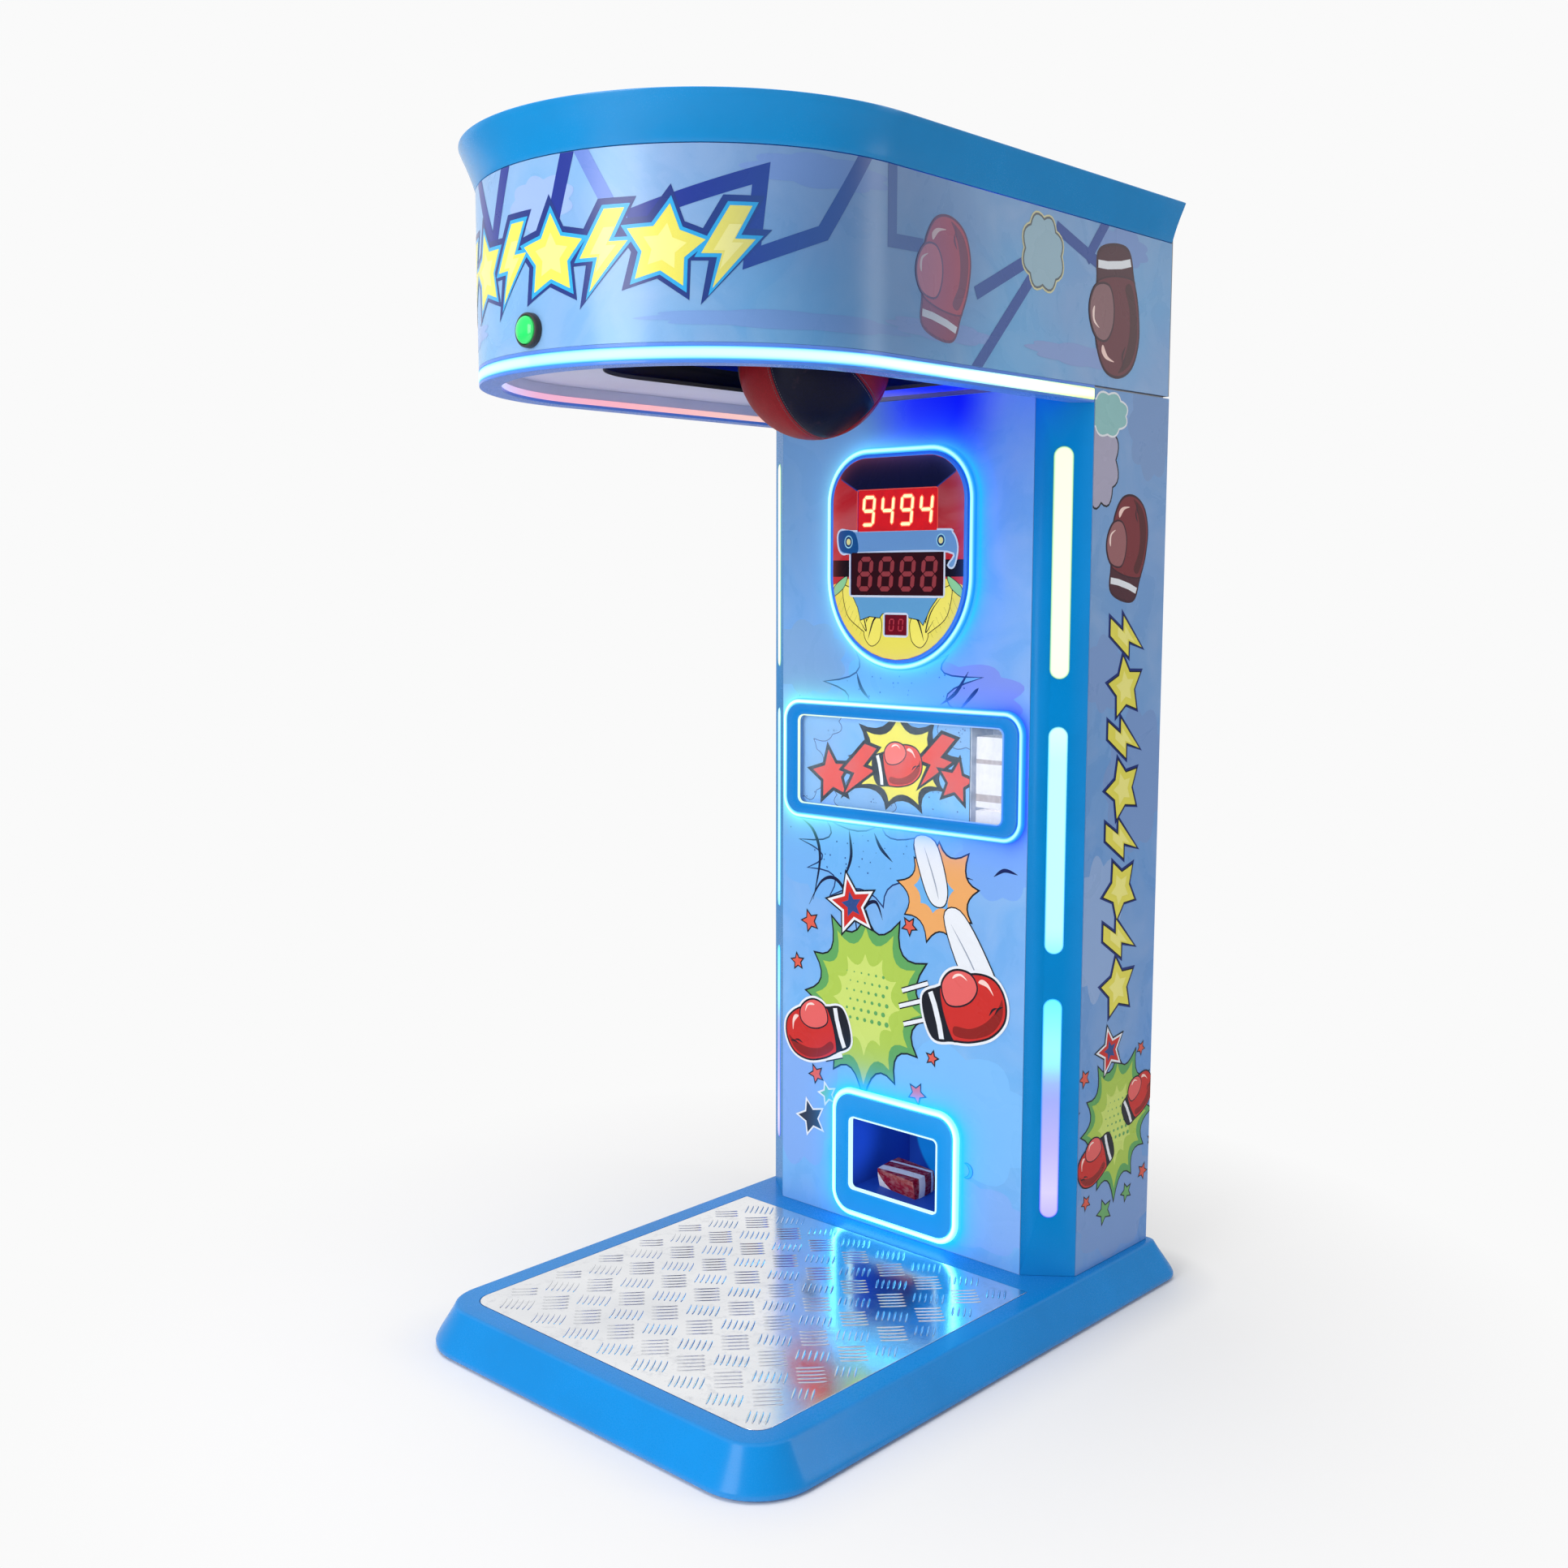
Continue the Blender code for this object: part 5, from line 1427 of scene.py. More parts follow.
chute_cyan = across_hue(chute_low, chute_high, (0.11, 0.52, 0.78), (0.13, 0.54, 0.78), (0.0, 0.055, 0.17),
    (0.0, 0.075, 0.18))
light_ring("chute_ring", upright(chute_near, chute_far, 0.042), ring_width, 0.0078, "chute_light",
    chute_cyan, lens_finish("chute_lens", 8.0), 0.5)
# The chute's frame is given a faint painted glow in blue.
framed("chute_surround", chute_near, chute_far, 0.042, chute_gap, 0.01, "chute_frame",
    coated("chute_frame_blue_painted_glow", tone(6, 140, 214), 0.28, Emission_Color=tone(0, 136, 225),
    Emission_Strength=0.2))
lining("chute_lining", chute_gap, 0.01, across_hue(chute_low, chute_high, (0.55, 0.85, 0.85),
    (0.6, 0.85, 0.85), (0, 0, 0), (0, 0, 0)), thick=0.0018, back=-0.001)
tray_low, tray_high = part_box("prize_tray")
tray_blue = coated("tray_blue", tone(22, 70, 160), 0.42, grain=900.0, depth=0.00008, worn=0.02,
    Emission_Strength=1.0)
tree = tray_blue.node_tree
# Painted light: the whole tray glows dark blue, with a paler pool of painted light on its back wall, a
# painted glow near the left edge of the opening and a painted pool on its ceiling.
place = join(tree, "TexCoord", out=3)
sheen = pooled(tree, place, (tray_low.x + 0.128, tray_high.y, tray_low.z + 0.085), 0.11, 0.116)
edge_glow = pooled(tree, place, (tray_low.x, tray_low.y, tray_low.z + 0.08), 0.02, 0.09)
glow = tinted(tree, sheen, tone(6, 18, 72), tone(0, 98, 160))
glow = tinted(tree, edge_glow, glow, tone(20, 52, 160))
ceiling_painted_light = pooled(tree, place, (0.0, tray_low.y + 0.1, tray_low.z + 0.2), 0.09, 0.13)
glow = tinted(tree, ceiling_painted_light, glow, tone(0, 120, 200))
tree.links.new(glow, tree.nodes["Principled BSDF"].inputs["Emission Color"])
dress("prize_tray", tray_blue, 0.0008)
snack_card = carton_finish("red_carton", tone(138, 16, 24), tone(226, 226, 230), 1, (0.2, 0.62),
    (0.4, 0.7))
floor_z = tray_low.z + 0.003
piece("won_prize", pack((-0.017, tray_low.y + 0.05, floor_z + 0.0195), (0.092, 0.052, 0.036), turn=-8,
    tilt=10, bulge=0.12), snack_card, sharp=70)

# ---- Electrics ----
# A vented power supply and a green control board on standoffs, fixed inside the column above the floor.

silver = coated("supply_case", tone(190, 193, 198), 0.35, Metallic=1.0)
board_green = coated("board_green", tone(24, 104, 58), 0.35, grain=600.0, mottle=0.2)
dress("power_supply", silver, 0.0012)
dress("control_board", board_green, 0.0003)
supply_low, supply_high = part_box("power_supply")
vents = []
for row in range(6):
    for column in range(10):
        spot = (supply_low.x + 0.018 + column * 0.0125, supply_low.y + 0.018 + row * 0.0145,
            supply_high.z - 0.0002)
        vents.append(turned(spot, (0, 0, 1), mm("4.2 0, 4.2 0.6, 3.4 0.6, 3.2 0.2"), 12))
piece("supply_vents", gathered(vents), black)
_, board_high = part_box("control_board")
parts = []
for y, z, deep, tall, proud in mm("350 660 30 30 3, 400 700 22 50 4, 440 640 16 30 12, 360 760 50 12 10, "
        "430 770 20 30 6, 350 710 14 20 3"):
    parts.append(block((board_high.x - 0.0002, y - deep / 2, z - tall / 2),
        (board_high.x + proud, y + deep / 2, z + tall / 2)))
piece("board_parts", gathered(parts), black)
cans = [turned((board_high.x - 0.0002, 0.385 + step * 0.016, 0.635), (1, 0, 0),
    mm("5.5 0, 5.5 11, 4.8 12.5, 3 12.5"), 20) for step in range(3)]
piece("board_cans", gathered(cans), silver)

# ---- Top plate, swing frames and magnet ----
# A steel plate closes the column and carries two welded side frames, coated black. They hold the ball
# bearings and the cross beam with the magnet that keeps the arm up between games.

plate_steel = coated("top_plate_steel", tone(150, 153, 158), 0.4, mottle=0.15, Metallic=1.0)
dress("column_top_plate", plate_steel, 0.0004)
frame_black = coated("frame_coat", tone(44, 46, 50), 0.45, grain=800.0, depth=0.0001)
for name in ("swing_frame_left", "swing_frame_right", "magnet_beam"):
    dress(name, frame_black, 0.0008)
zinc = coated("zinc_plate", tone(184, 186, 178), 0.3, mottle=0.14, Metallic=1.0)
dress("hold_magnet", zinc)
for side in ("left", "right"):
    low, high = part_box("bearing_" + side)
    middle_spot, half = (low + high) / 2, (high.x - low.x) / 2
    race = [(0.0105, half), (0.0135, half), (0.014, half - 0.0008), (0.016, half - 0.0008),
        (0.0165, half), (0.0196, half), (0.02, half - 0.0004)]
    profile = race + [(radius, -height) for radius, height in reversed(race)]
    rows = [[tuple(middle_spot + Vector((height, radius * math.cos(a),
        radius * math.sin(a)))) for a in [math.tau * step / 40 for step in range(40)]] for radius,
        height in profile]
    piece("ball_race_" + side, sweep(rows), bright, stands_for=["bearing_" + side])

# ---- Swing: shaft, arm, collar, encoder and ball ----
# A ground shaft turns in the bearings and carries a black arm. Bolted to its end is the ball: leather
# gores in red and navy with a round end patch, sewn with dark thread round a foam core.

shaft_low, shaft_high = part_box("pivot_shaft")
ball_low, ball_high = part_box("punch_ball")
pivot, ball_centre = (shaft_low + shaft_high) / 2, (ball_low + ball_high) / 2
pivot.x = 0.0
hang = (ball_centre - pivot).normalized()
shaft_profile = [(0.009, 0.0), (0.01, 0.001), (0.01, shaft_high.x - shaft_low.x - 0.001),
    (0.009, shaft_high.x - shaft_low.x)]
piece("swing_shaft", turned((shaft_low.x, pivot.y, pivot.z), (1, 0, 0), shaft_profile, 48), bright,
    body="swing", stands_for=["pivot_shaft"])
dress("swing_arm", coated("arm_coat", tone(36, 37, 41), 0.4, Metallic=0.2), 0.0012)
dress("ball_collar", black)
dress("encoder_disc", black)

ball_radius = (ball_high.x - ball_low.x) / 2
gores, columns, turn_start, patch_edge = 6, 14, 40.0, 129.0


def leather_finish():
    """Pebbled leather: fine cells pressed in, a waxy sheen, and scuffs on the high spots."""
    material, tree, shader = new_finish("ball_leather", Coat_Weight=0.03, Coat_Roughness=0.25,
        Specular_IOR_Level=0.12)
    dye_and_painted_light = tree.nodes.new("ShaderNodeAttribute")
    dye_and_painted_light.attribute_name = "ink"
    place = join(tree, "TexCoord", out=3)
    pebble = join(tree, "TexVoronoi", {"Vector": place, "Scale": 520.0}, feature="SMOOTH_F1")
    scuff = noise(tree, place, 26.0, 7.0, Roughness=0.65)
    base = tinted(tree, ramped(tree, pebble, 0.1, 0.6, 0.0, 0.25), dye_and_painted_light.outputs["Color"], DARK)
    base = tinted(tree, ramped(tree, scuff, 0.55, 0.8, 0.0, 0.06), base, tone(220, 150, 140))
    drive(tree, Base_Color=base)
    drive(tree, Roughness=ramped(tree, scuff, 0.3, 0.75, 0.3, 0.5))
    emboss(tree, pebble, 0.5, 0.0003)
    return material


side_way = Vector((1.0, 0.0, 0.0))
up_way = side_way.cross(hang)


def on_ball(longitude, latitude, radius):
    """A point on the ball: longitude round the arm's line, latitude from the collar to the far end."""
    a, b = math.radians(longitude), math.radians(latitude)
    round_about = side_way * math.cos(a) + up_way * math.sin(a)
    return ball_centre + (-hang * math.cos(b) + round_about * math.sin(b)) * radius


rows = []
latitudes = sorted([3.0 * row for row in range(1, 60)] + [patch_edge +
    step for step in (-1.4, -0.8, -0.4, 0.4, 0.8, 1.4)])
for latitude in latitudes:
    ring = []
    seam = math.radians(abs(latitude - patch_edge)) * ball_radius
    patch_groove = 0.0014 * math.exp(-(seam / 0.0018) ** 2)
    for gore in range(gores):
        for column in range(columns):
            share = column / columns
            seam = min(share, 1 - share) * math.radians(360 /
                gores) * math.sin(math.radians(latitude)) * ball_radius
            groove = 0.0016 * math.exp(-(seam / 0.0022) ** 2) if latitude < patch_edge else 0.0
            groove = max(groove, patch_groove)
            longitude = turn_start + (gore + share) * 360 / gores
            ring.append(tuple(on_ball(longitude, latitude, ball_radius - groove)))
    rows.append(ring)
ball = piece("leather_ball", sweep(rows, loop=False, caps=True), leather_finish(), body="swing",
    stands_for=["punch_ball"], sharp=80)
crimson, midnight = tone(146, 20, 32), tone(4, 7, 40)
dyes = []
for face in ball.data.polygons:
    row, step = divmod(face.index, gores * columns)
    on_patch = row >= len(rows) - 1 or latitudes[row] > patch_edge - 0.1
    dyes.append(crimson if on_patch or step // columns % 2 else midnight)
inked(ball, "FACE", dyes)

stitches = []
for gore in range(gores):
    for side in (-1, 1):
        for step in range(7, 63):
            latitude = step * 2.0
            lean = side * math.degrees(0.0034 / (ball_radius * math.sin(math.radians(latitude))))
            longitude = turn_start + gore * 360 / gores + lean
            start = on_ball(longitude, latitude, ball_radius - 0.0008)
            end = on_ball(longitude, latitude + 1.3, ball_radius - 0.0008)
            stitches.append(turned(start, end - start, [(0.0003, 0.0), (0.00055, 0.0004),
                (0.00055, (end - start).length - 0.0004), (0.0003, (end - start).length)], 6))
thread = coated("thread", tone(60, 40, 52), 0.7, grain=2500.0, depth=0.0002)
piece("ball_stitching", gathered(stitches), thread, body="swing")

# ---- Head: rim, light band and underside ----
# The overhang stands on a moulded blue rim with a groove for the light band. A second strip of LEDs
# shines inward under a pale sheet that is slotted for the ball.

wrap_low, wrap_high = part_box("head_wrap")
rim_low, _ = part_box("head_rim")
band_low, band_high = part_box("head_light")
sheet_low, sheet_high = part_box("underside_panel")
head_radius = wrap_high.x
arc_y = wrap_low.y + head_radius
face_y, shoulder_y = post_low.y, post_high.y
head_steps = 144


def head_path(offset, back):
    """The head's plan, drawn in by an offset: right side, round the nose, left side."""
    reach = head_radius - offset
    sides = 10
    right = [(reach, back + (arc_y - back) * step / sides) for step in range(sides)]
    nose = arc((0, arc_y), reach, 0, -180, head_steps)
    return right + nose + [(-x, y) for x, y in reversed(right)]


def head_skin(section, back):
    """A cross-section of (offset, height) points carried round the head's plan, with both ends closed."""
    rows = [[(x, y, z) for x, y in head_path(offset, back(offset))] for offset, z in section]
    return sweep(rows, ring=False, ends=True)


def at_post(offset):
    """Where trim under the overhang meets the column's slanted corner."""
    return shoulder_y - offset * rise / run - 0.0006


def at_back(_offset):
    return wrap_high.y


rim_blue = coated("rim_blue", tone(64, 126, 226), 0.25, Coat_Weight=0.15)
z0, z1, z2, z3 = rim_low.z, band_low.z - 0.0003, band_high.z + 0.0003, sheet_low.z - 0.0003
rim = [(0.0014, z0), (0.0004, z0 + 0.0006), (0.0, z0 + 0.0016), (0.0, z1), (0.004, z1), (0.004, z2),
    (0.0, z2), (0.0, wrap_low.z - 0.0003), (0.004, wrap_low.z - 0.0003), (0.008, z3), (0.03, z3),
    (0.03, z0 + 0.0008), (0.0292, z0)]
piece("rim_moulding", head_skin(rim, at_post), rim_blue, stands_for=["head_rim"])
z1, z2, depth = band_low.z, band_high.z, 0.0036
shares = (0.0, 0.06, 0.14, 0.24, 0.34, 0.44, 0.54, 0.64, 0.74, 0.84, 0.93, 1.0)
band = [(0.0006 if share in (0.0, 1.0) else 0.0, z1 + (z2 - z1) * share) for share in shares]
band_light = piece("head_light_band", head_skin(band + [(depth, z2), (depth, z1)], at_post), ring_lens,
    stands_for=["head_light"], sharp=60)
band_scale = [(-0.52, (0.4, 0.96, 1.0)), (-0.3, (0.5, 1.0, 1.0)), (-0.19, (0.6, 1.0, 1.0)),
    (-0.05, (0.75, 1.0, 0.95)), (0.1, (0.95, 1.0, 0.8)), (0.27, (0.9, 1.0, 0.55))]
band_rims = [(-0.3, (0.0, 0.22, 0.85)), (-0.1, (0.02, 0.4, 0.8)), (0.1, (0.4, 0.8, 0.5)),
    (0.27, (0.55, 0.85, 0.2))]


def band_colour(corner, index):
    along_y = corner.y if corner.x > 0 else -0.4
    bright = math.exp(-(((corner.z - z1) / (z2 - z1) - 0.52) / 0.4) ** 4)
    return between(along_scale(band_rims, along_y), along_scale(band_scale, along_y), bright)


lit(band_light, band_colour)

inner = [(0.0302, z0 + 0.0045), (0.0302, z0 + 0.013), (0.0325, z0 + 0.013), (0.033, z0 + 0.012),
    (0.033, z0 + 0.0055), (0.0325, z0 + 0.0045)]
inner_strip = piece("inner_light_strip", head_skin(inner, at_post), lens_finish("inner_lens", 0.9),
    sharp=60)
strip_scale = [(-0.5, (0.1, 0.2, 1.0)), (-0.42, (0.62, 0.66, 1.0)), (-0.28, (0.92, 0.46, 0.62)),
    (-0.1, (1.0, 0.47, 0.5)), (0.2, (1.0, 0.62, 0.52))]


def strip_colour(corner, _index):
    share = min(max((corner.x + 0.2) / 0.25, 0.0), 1.0)
    return between(along_scale(strip_scale, corner.y), (0.05, 0.06, 1.0), share)


lit(inner_strip, strip_colour)

slot_half, slot_front, slot_back = 0.146, -0.352, 0.15
front_slot = arc((0.0, slot_front + slot_half), slot_half, 180, 360, 48)
slot_loop = front_slot + [(slot_half, slot_back), (-slot_half, slot_back)]
outer_loop = head_path(0.0122, face_y)
pale_grey = coated("underside_sheet", tone(192, 194, 220), 0.35, grain=500.0)
tree = pale_grey.node_tree
shader = tree.nodes["Principled BSDF"]
plain = shader.inputs["Base Color"].links[0].from_socket
# Painted light: a pool of deep blue light towards the back right, painted into the sheet's colour and glow;
# the flange shares it.
lamp = pooled(tree, join(tree, "TexCoord", out=3), (0.2, 0.16, sheet_low.z), 0.1, 0.34)
drive(tree, Base_Color=tinted(tree, lamp, plain, tone(8, 14, 160)))
drive(tree, Emission_Color=tinted(tree, lamp, DARK, (0.0, 0.015, 0.8, 1.0)))
shader.inputs["Emission Strength"].default_value = 1.0
flat = tessellate_polygon([[Vector((x, y, 0)) for x, y in outer_loop],
    [Vector((x, y, 0)) for x, y in slot_loop]])
outline_points = outer_loop + slot_loop
low_z, high_z = sheet_low.z, sheet_high.z
count = len(outline_points)
corners = [(x, y, low_z) for x, y in outline_points] + [(x, y, high_z) for x, y in outline_points]
faces = [tuple(t) for t in flat] + [tuple(index + count for index in t) for t in flat]
for start, size in ((0, len(outer_loop)), (len(outer_loop), len(slot_loop))):
    for step in range(size):
        a, b = start + step, start + (step + 1) % size
        faces.append((a, b, b + count, a + count))
piece("underside_sheet", (corners, faces), pale_grey, stands_for=["underside_panel"])
flange = [(0.0302, rim_low.z + 0.0134), (0.0302, low_z - 0.0002), (0.0314, low_z - 0.0002),
    (0.0314, rim_low.z + 0.0134)]
piece("underside_flange", head_skin(flange, at_post), pale_grey)
slot_edge = []
for grow, z in ((0.0, low_z - 0.0012), (0.0, high_z + 0.0012), (0.0018, high_z + 0.0012),
        (0.0018, low_z - 0.0012)):
    reach, end = slot_half - 0.0004 - grow, slot_back - 0.0004 - grow
    loop = arc((0.0, slot_front + slot_half), reach, 180, 360, 48) + [(reach, end), (-reach, end)]
    slot_edge.append([(x, y, z) for x, y in loop])
piece("slot_trim", sweep(slot_edge), rubber)

# ---- Head: printed wrap, crown, lid and back ----
# One sheet is bent round the nose under the printed film, with the flared crown moulding on top of it. A
# lid and a grey back sheet close the head.

# Painted shade: a darker patch where the nose turns into the right side.
wrap_painted_shade = ((head_radius, arc_y - 0.02, (wrap_low.z + wrap_high.z) / 2), 0.06, 0.32, 0.62,
    tone(40, 92, 150), DARK)
wrap_print = print_finish("wrap_print", tone(104, 172, 226), tone(118, 170, 220), tone(128, 166, 216),
    (1.47, 1.66), pools=[wrap_painted_shade])
shader = wrap_print.node_tree.nodes["Principled BSDF"]
shader.inputs["Coat Weight"].default_value, shader.inputs["Coat Roughness"].default_value = 0.55, 0.27
z0, z1, skin = wrap_low.z, wrap_high.z, 0.0025
wrap = [(0.0004, z0), (0.0, z0 + 0.0006), (0.0, z1 - 0.0004), (0.0004, z1), (skin, z1), (skin, z0)]
wrap_sheet = piece("wrap_sheet", head_skin(wrap, at_back), wrap_print, stands_for=["head_wrap"])
inked(wrap_sheet, "POINT", [SKY] * len(wrap_sheet.data.vertices))
quarter = head_radius * math.pi / 2


def on_wrap(s, v, proud=0.0):
    """A place on the wrap, s metres round it from the tip of the nose, to the right."""
    side = 1 if s > 0 else -1
    if abs(s) > quarter:
        return (side * (head_radius + proud), arc_y + abs(s) - quarter, v)
    angle = s / head_radius
    return ((head_radius + proud) * math.sin(angle), arc_y - (head_radius + proud) * math.cos(angle), v)


art = []
wrap_end = quarter + wrap_high.y - arc_y
deep, slate, lilac = tone(8, 40, 142), tone(52, 84, 160), tone(98, 130, 210)
for text, width, colour in (("30 1560, 69 1690", 0.0205, deep),
        ("86 1690, 128 1617, 160 1590", 0.019, lilac), ("152 1600, 317 1652, 305 1552, 398 1587, 464 1690",
        0.0195, deep), ("511 1690, 511 1592, 575 1594; 690 1548, 800 1602; 826 1590, 690 1446; "
        "880 1664, 1010 1622; 1012 1690, 960 1628", 0.018, slate),
        ("-50 1690, -90 1590, -150 1690", 0.0205, deep), ("-230 1602, -322 1652, -310 1552, -404 1587, "
        "-470 1690", 0.0195, deep), ("-530 1690, -530 1592, -690 1640; -760 1446, -900 1600, -1080 1560",
        0.018, slate)):
    for points in brush_lines(text):
        art.append((stroke(points, width, False), colour, 2))
art += puffs("400 1660 90 18 126 160 222, 360 1480 170 10 120 160 220, 20 1630 50 30 150 178 232, "
    "620 1490 100 12 134 164 222, -250 1490 120 16 132 168 226, 950 1490 120 14 136 162 216, "
    "1060 1660 60 24 126 158 214", lambda wide, high: int(wide * 997))
badge_spots = [(0.079 * (step - 3.5), 1.564) for step in range(8)]
art += badge_row(badge_spots, 0.098, 0, 0.0046, level=4)
for sign in (1, -1):
    spot = sign * (quarter + 0.112)
    art += glove_art((spot, 1.56), 0.158, turn=90 - 12 * sign, flip=sign, level=3, red=tone(196, 70, 56),
        cuff=tone(160, 50, 44), line=tone(120, 40, 44))
    spot = sign * (quarter + 0.338)
    cloud = laid(puff(8, 0.042, 0.044, seed=12), (spot, 1.624))
    art += [(grown(cloud, 0.0055), tone(218, 214, 170), 3), (grown(cloud, 0.003), tone(96, 104, 110), 4),
        (cloud, tone(158, 190, 206), 5)]
    spot = sign * (quarter + 0.535)
    art += glove_art((spot, 1.563), 0.19, turn=90 + 8 * sign, flip=-sign, level=3, red=tone(104, 44, 56),
        cuff=tone(74, 32, 46), line=tone(60, 26, 42))
printed("wrap_film", on_wrap, art, wrap_print, (-wrap_end, wrap_end, wrap_low.z + 0.0004,
    wrap_high.z - 0.0004), bend=0.0068)

crown_low, crown_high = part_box("head_crown")
lid_low, lid_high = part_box("head_lid")
flare = crown_high.x - head_radius
z0, z1 = crown_low.z, crown_high.z
crown_blue = coated("crown_blue", tone(0, 136, 204), 0.24, worn=0.1, Coat_Weight=0.35, Coat_Roughness=0.24)
crown = [(0.012, z0), (0.0008, z0), (0.0, z0 + 0.0006)]
for step in range(1, 9):
    share = step / 9
    crown.append((-flare * (0.72 * share + 0.28 * share ** 2), z0 + (z1 - 0.003 - z0) * share))
crown += [(-flare + 0.0001, z1 - 0.0022), (-flare + 0.0002, z1 - 0.0008), (-flare + 0.0012, z1),
    (0.0036, z1), (0.004, z1 - 0.0006), (0.004, lid_low.z - 0.0003), (0.012, lid_low.z - 0.0003)]
piece("crown_moulding", head_skin(crown, at_back), crown_blue, stands_for=["head_crown"])
lid_rows = [[(x, y, z) for x, y in head_path(draw_in, wrap_high.y - 0.0002)] for draw_in,
    z in ((0.005, lid_low.z), (0.0043, lid_low.z + 0.0006), (0.0043, lid_high.z - 0.0006),
    (0.005, lid_high.z))]
piece("lid_sheet", sweep(lid_rows, loop=False, caps=True), crown_blue, stands_for=["head_lid"])
dress("head_back", service_grey, 0.0005)
back_low, back_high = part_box("head_back")
spots = [(x, z) for x in (-0.3, -0.15, 0.0, 0.15, 0.3) for z in (back_low.z + 0.016,
    back_high.z - 0.02)]
piece("head_back_screws", gathered([screw_head((x, back_high.y - 0.0012, z), (0, 1, 0), 0.0034,
    0.0011) for x, z in spots]), bright)

# ---- Start button ----
# A green domed cap in a black threaded bezel, sprung, lit faintly from inside. Its switch is clipped
# behind.

bezel_low, bezel_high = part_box("button_bezel")
button = Vector(((bezel_low.x + bezel_high.x) / 2, wrap_low.y, (bezel_low.z + bezel_high.z) / 2))
bezel = mm("11 -35, 15.2 -35, 15.2 0.3, 22 0.3, 22 6.2, 21.6 8, 20.4 9.2, 19.4 9.5, 18.4 8.8, 18.1 7.6, "
    "18.1 1.2, 11 1.2")
rows = [[tuple(button + Vector((radius * math.cos(a), -out, radius * math.sin(a)))) for a in [math.tau *
    step / 64 for step in range(64)]] for radius, out in bezel]
piece("bezel_ring", sweep(rows), black, stands_for=["button_bezel"])
green = coated("button_green", tone(36, 214, 104), 0.22, grain=300.0, Coat_Weight=0.5,
    Emission_Color=tone(30, 220, 90), Emission_Strength=0.12)
dome = mm("10.4 -30, 10.4 6.2, 17.5 6.2, 17.5 9.6, 17 10.8, 15.6 12.1, 13 13.6, 9.8 14.8, 6.2 15.6, "
    "2.8 15.95")
piece("green_cap", turned(button, (0, -1, 0), dome, 64), green, body="start_button",
    stands_for=["button_cap"])
dress("button_switch", black, 0.0006)

# ---- Floor, light and camera ----
# A pale studio: white floor and backdrop, a tall soft box in front, one from behind on the right, and a
# wide one overhead.

floor_mesh = bpy.data.meshes.new("studio_floor")
reach = 30.0
floor_mesh.from_pydata([(-reach, -reach, 0), (reach, -reach, 0), (reach, reach, 0), (-reach, reach, 0)], [],
    [(0, 1, 2, 3)])
floor = stood("studio_floor", floor_mesh)
floor_finish, tree, shader = new_finish("studio_floor", Roughness=0.75, Specular_IOR_Level=0.15)
shader.inputs["Base Color"].default_value = tone(248, 247, 247)
place = join(tree, "TexCoord", out=3)
off = vector_of(tree, "SUBTRACT", place, (0.0, 0.05, 0.0))
far = ramped(tree, vector_of(tree, "LENGTH", off, out=1), 0.45, 1.2, 0.42, 1.0)
seen = join(tree, "LightPath", out=0)
middle = ((plinth_low.x + plinth_high.x) / 2, (plinth_low.y + plinth_high.y) / 2, 0.0)
inner_half = ((plinth_high.x - plinth_low.x) / 2 - 0.07, (plinth_high.y - plinth_low.y) / 2 - 0.07, 1.0)
beside = vector_of(tree, "SUBTRACT", place, middle)
beside = vector_of(tree, "SUBTRACT", vector_of(tree, "ABSOLUTE", beside), inner_half)
beside = vector_of(tree, "MAXIMUM", beside, (0.0, 0.0, 0.0))
clear = ramped(tree, vector_of(tree, "LENGTH", beside, out=1), 0.07, 0.16, 0.0, 1.0)
far = sum_of(tree, "MULTIPLY", far, clear)
share = sum_of(tree, "MULTIPLY", far, seen)
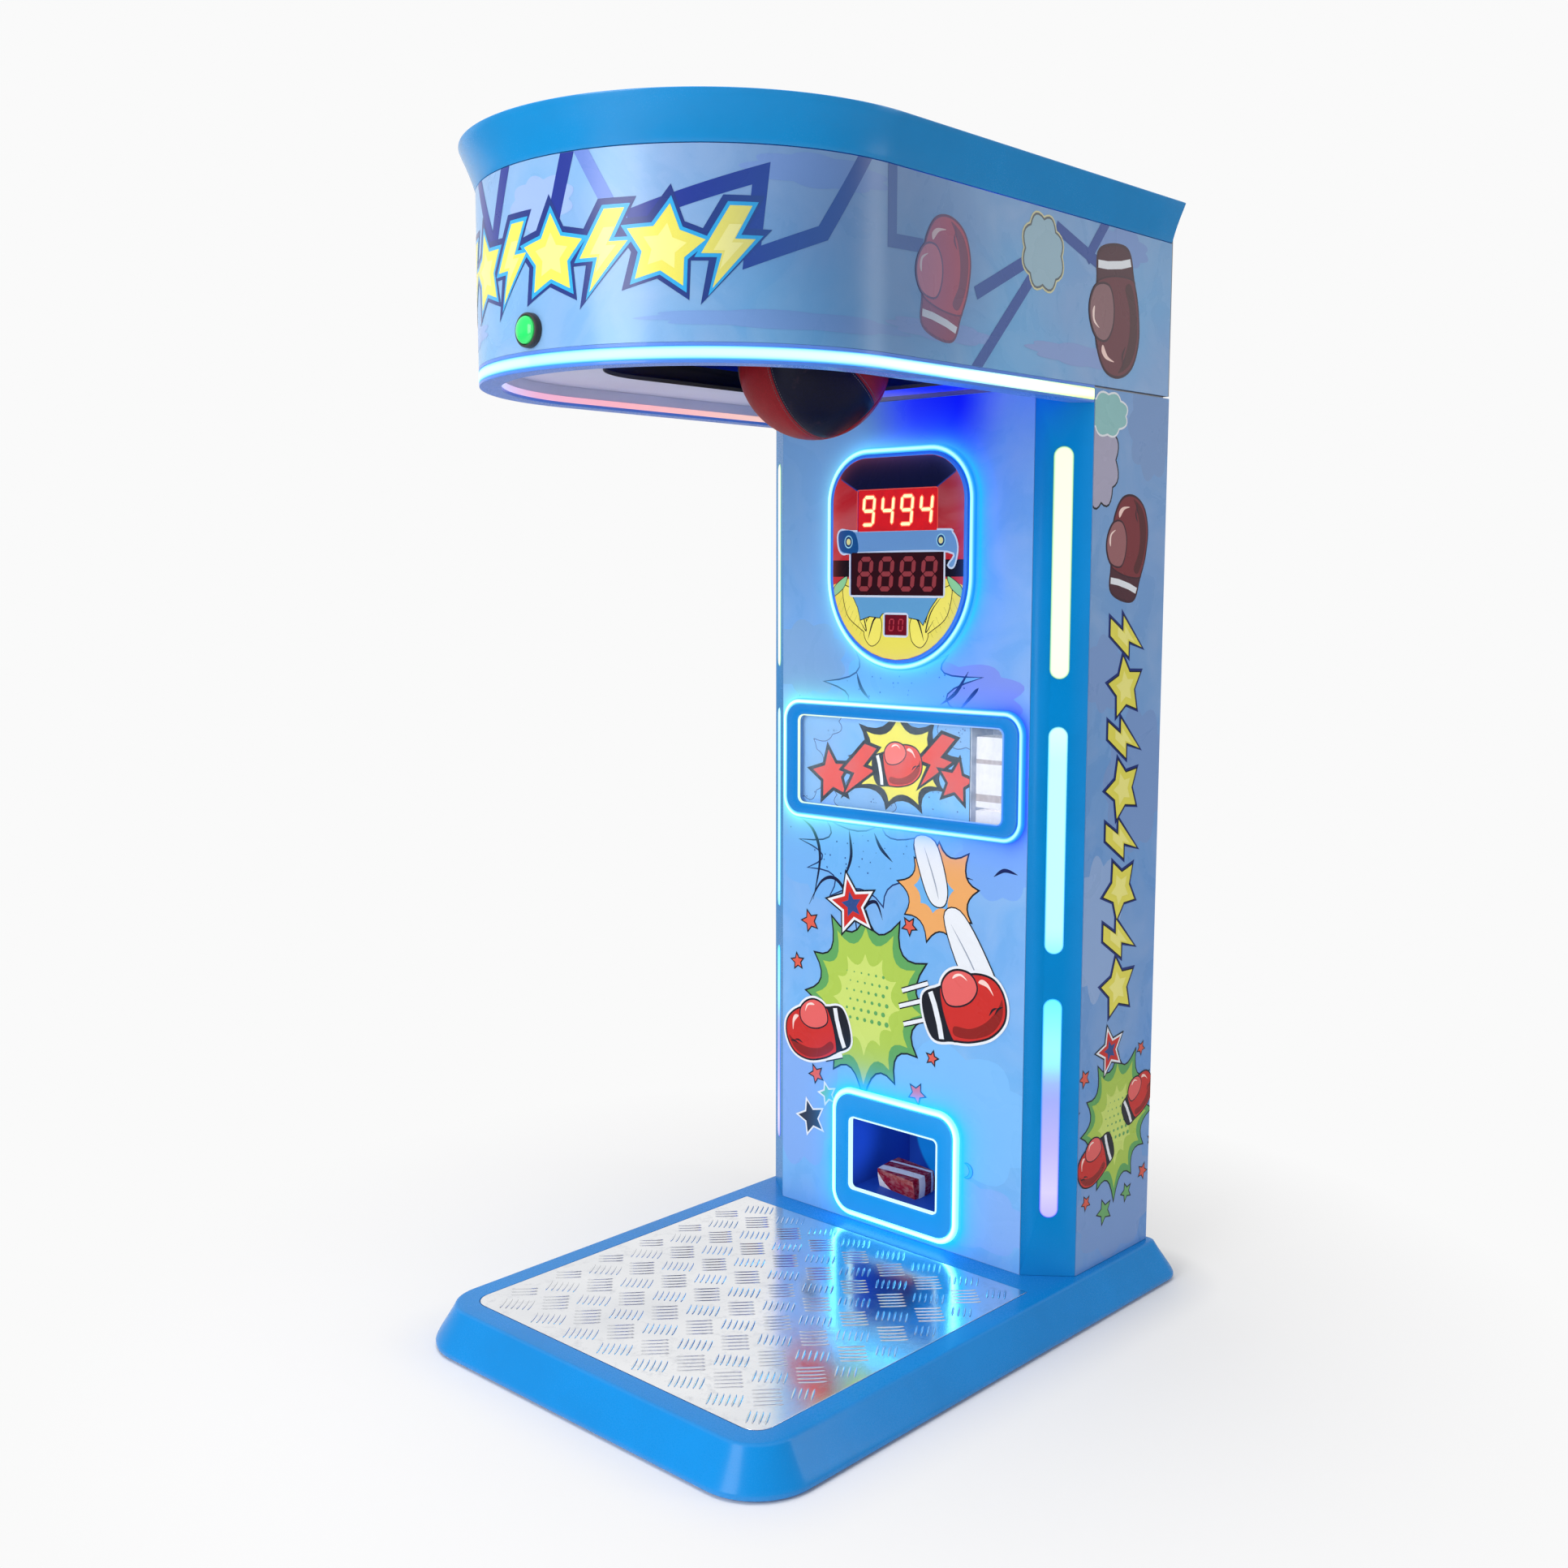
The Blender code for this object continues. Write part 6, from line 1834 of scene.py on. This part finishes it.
white = join(tree, "Emission", {0: tone(250, 250, 250), 1: 1.0})
mixed = join(tree, "MixShader", {0: share, 1: shader.outputs[0], 2: white})
tree.links.new(mixed, tree.nodes["Material Output"].inputs["Surface"])
floor_mesh.materials.append(floor_finish)

world = bpy.data.worlds.new("studio")
bpy.context.scene.world = world
world.use_nodes = True
tree = world.node_tree
rays = tree.nodes.new("ShaderNodeLightPath")
direct = sum_of(tree, "MAXIMUM", rays.outputs["Is Camera Ray"], rays.outputs["Is Glossy Ray"])
direct = sum_of(tree, "MAXIMUM", direct, rays.outputs["Is Transmission Ray"])
back = tree.nodes["Background"]
back.inputs["Color"].default_value = tone(250, 250, 250)
tree.links.new(ramped(tree, direct, 0.0, 1.0, 0.35, 1.0), back.inputs["Strength"])


def soft_box(name, spot, aim, width, height, power, mirrored=True):
    """A soft box; where it isn't mirrored, metals don't show it."""
    light = bpy.data.lights.new(name, "AREA")
    light.shape = "RECTANGLE"
    light.size, light.size_y, light.energy = width, height, power
    made = stood(name, light)
    made.location = spot
    made.rotation_euler = (Vector(aim) - Vector(spot)).to_track_quat("-Z", "Y").to_euler()
    made.visible_glossy = mirrored


soft_box("front_box", (0.25, -4.2, 1.9), (0.0, 0.0, 1.0), 1.7, 2.6, 105)
soft_box("back_box", (3.6, 2.4, 1.9), (0.0, 0.1, 1.1), 0.8, 2.4, 26)
soft_box("top_box", (-0.3, -0.6, 4.4), (0.0, 0.0, 0.5), 3.0, 3.0, 112, mirrored=False)
lamp = bpy.data.lights.new("head_led", "POINT")
lamp.energy, lamp.color, lamp.shadow_soft_size = 1.2, (0.01, 0.06, 1.0), 0.03
stood("head_led", lamp).location = (0.22, 0.02, sheet_high.z + 0.1)

camera = bpy.data.cameras.new("camera")
camera.lens = 38.85
camera.sensor_width = 36.0
view = stood("camera", camera)
view.location = (1.735, -1.918, 1.16)
view.rotation_euler = (math.radians(83.18), math.radians(-0.07), math.radians(42.82))
bpy.context.scene.camera = view
bpy.context.scene.view_settings.view_transform = "Standard"
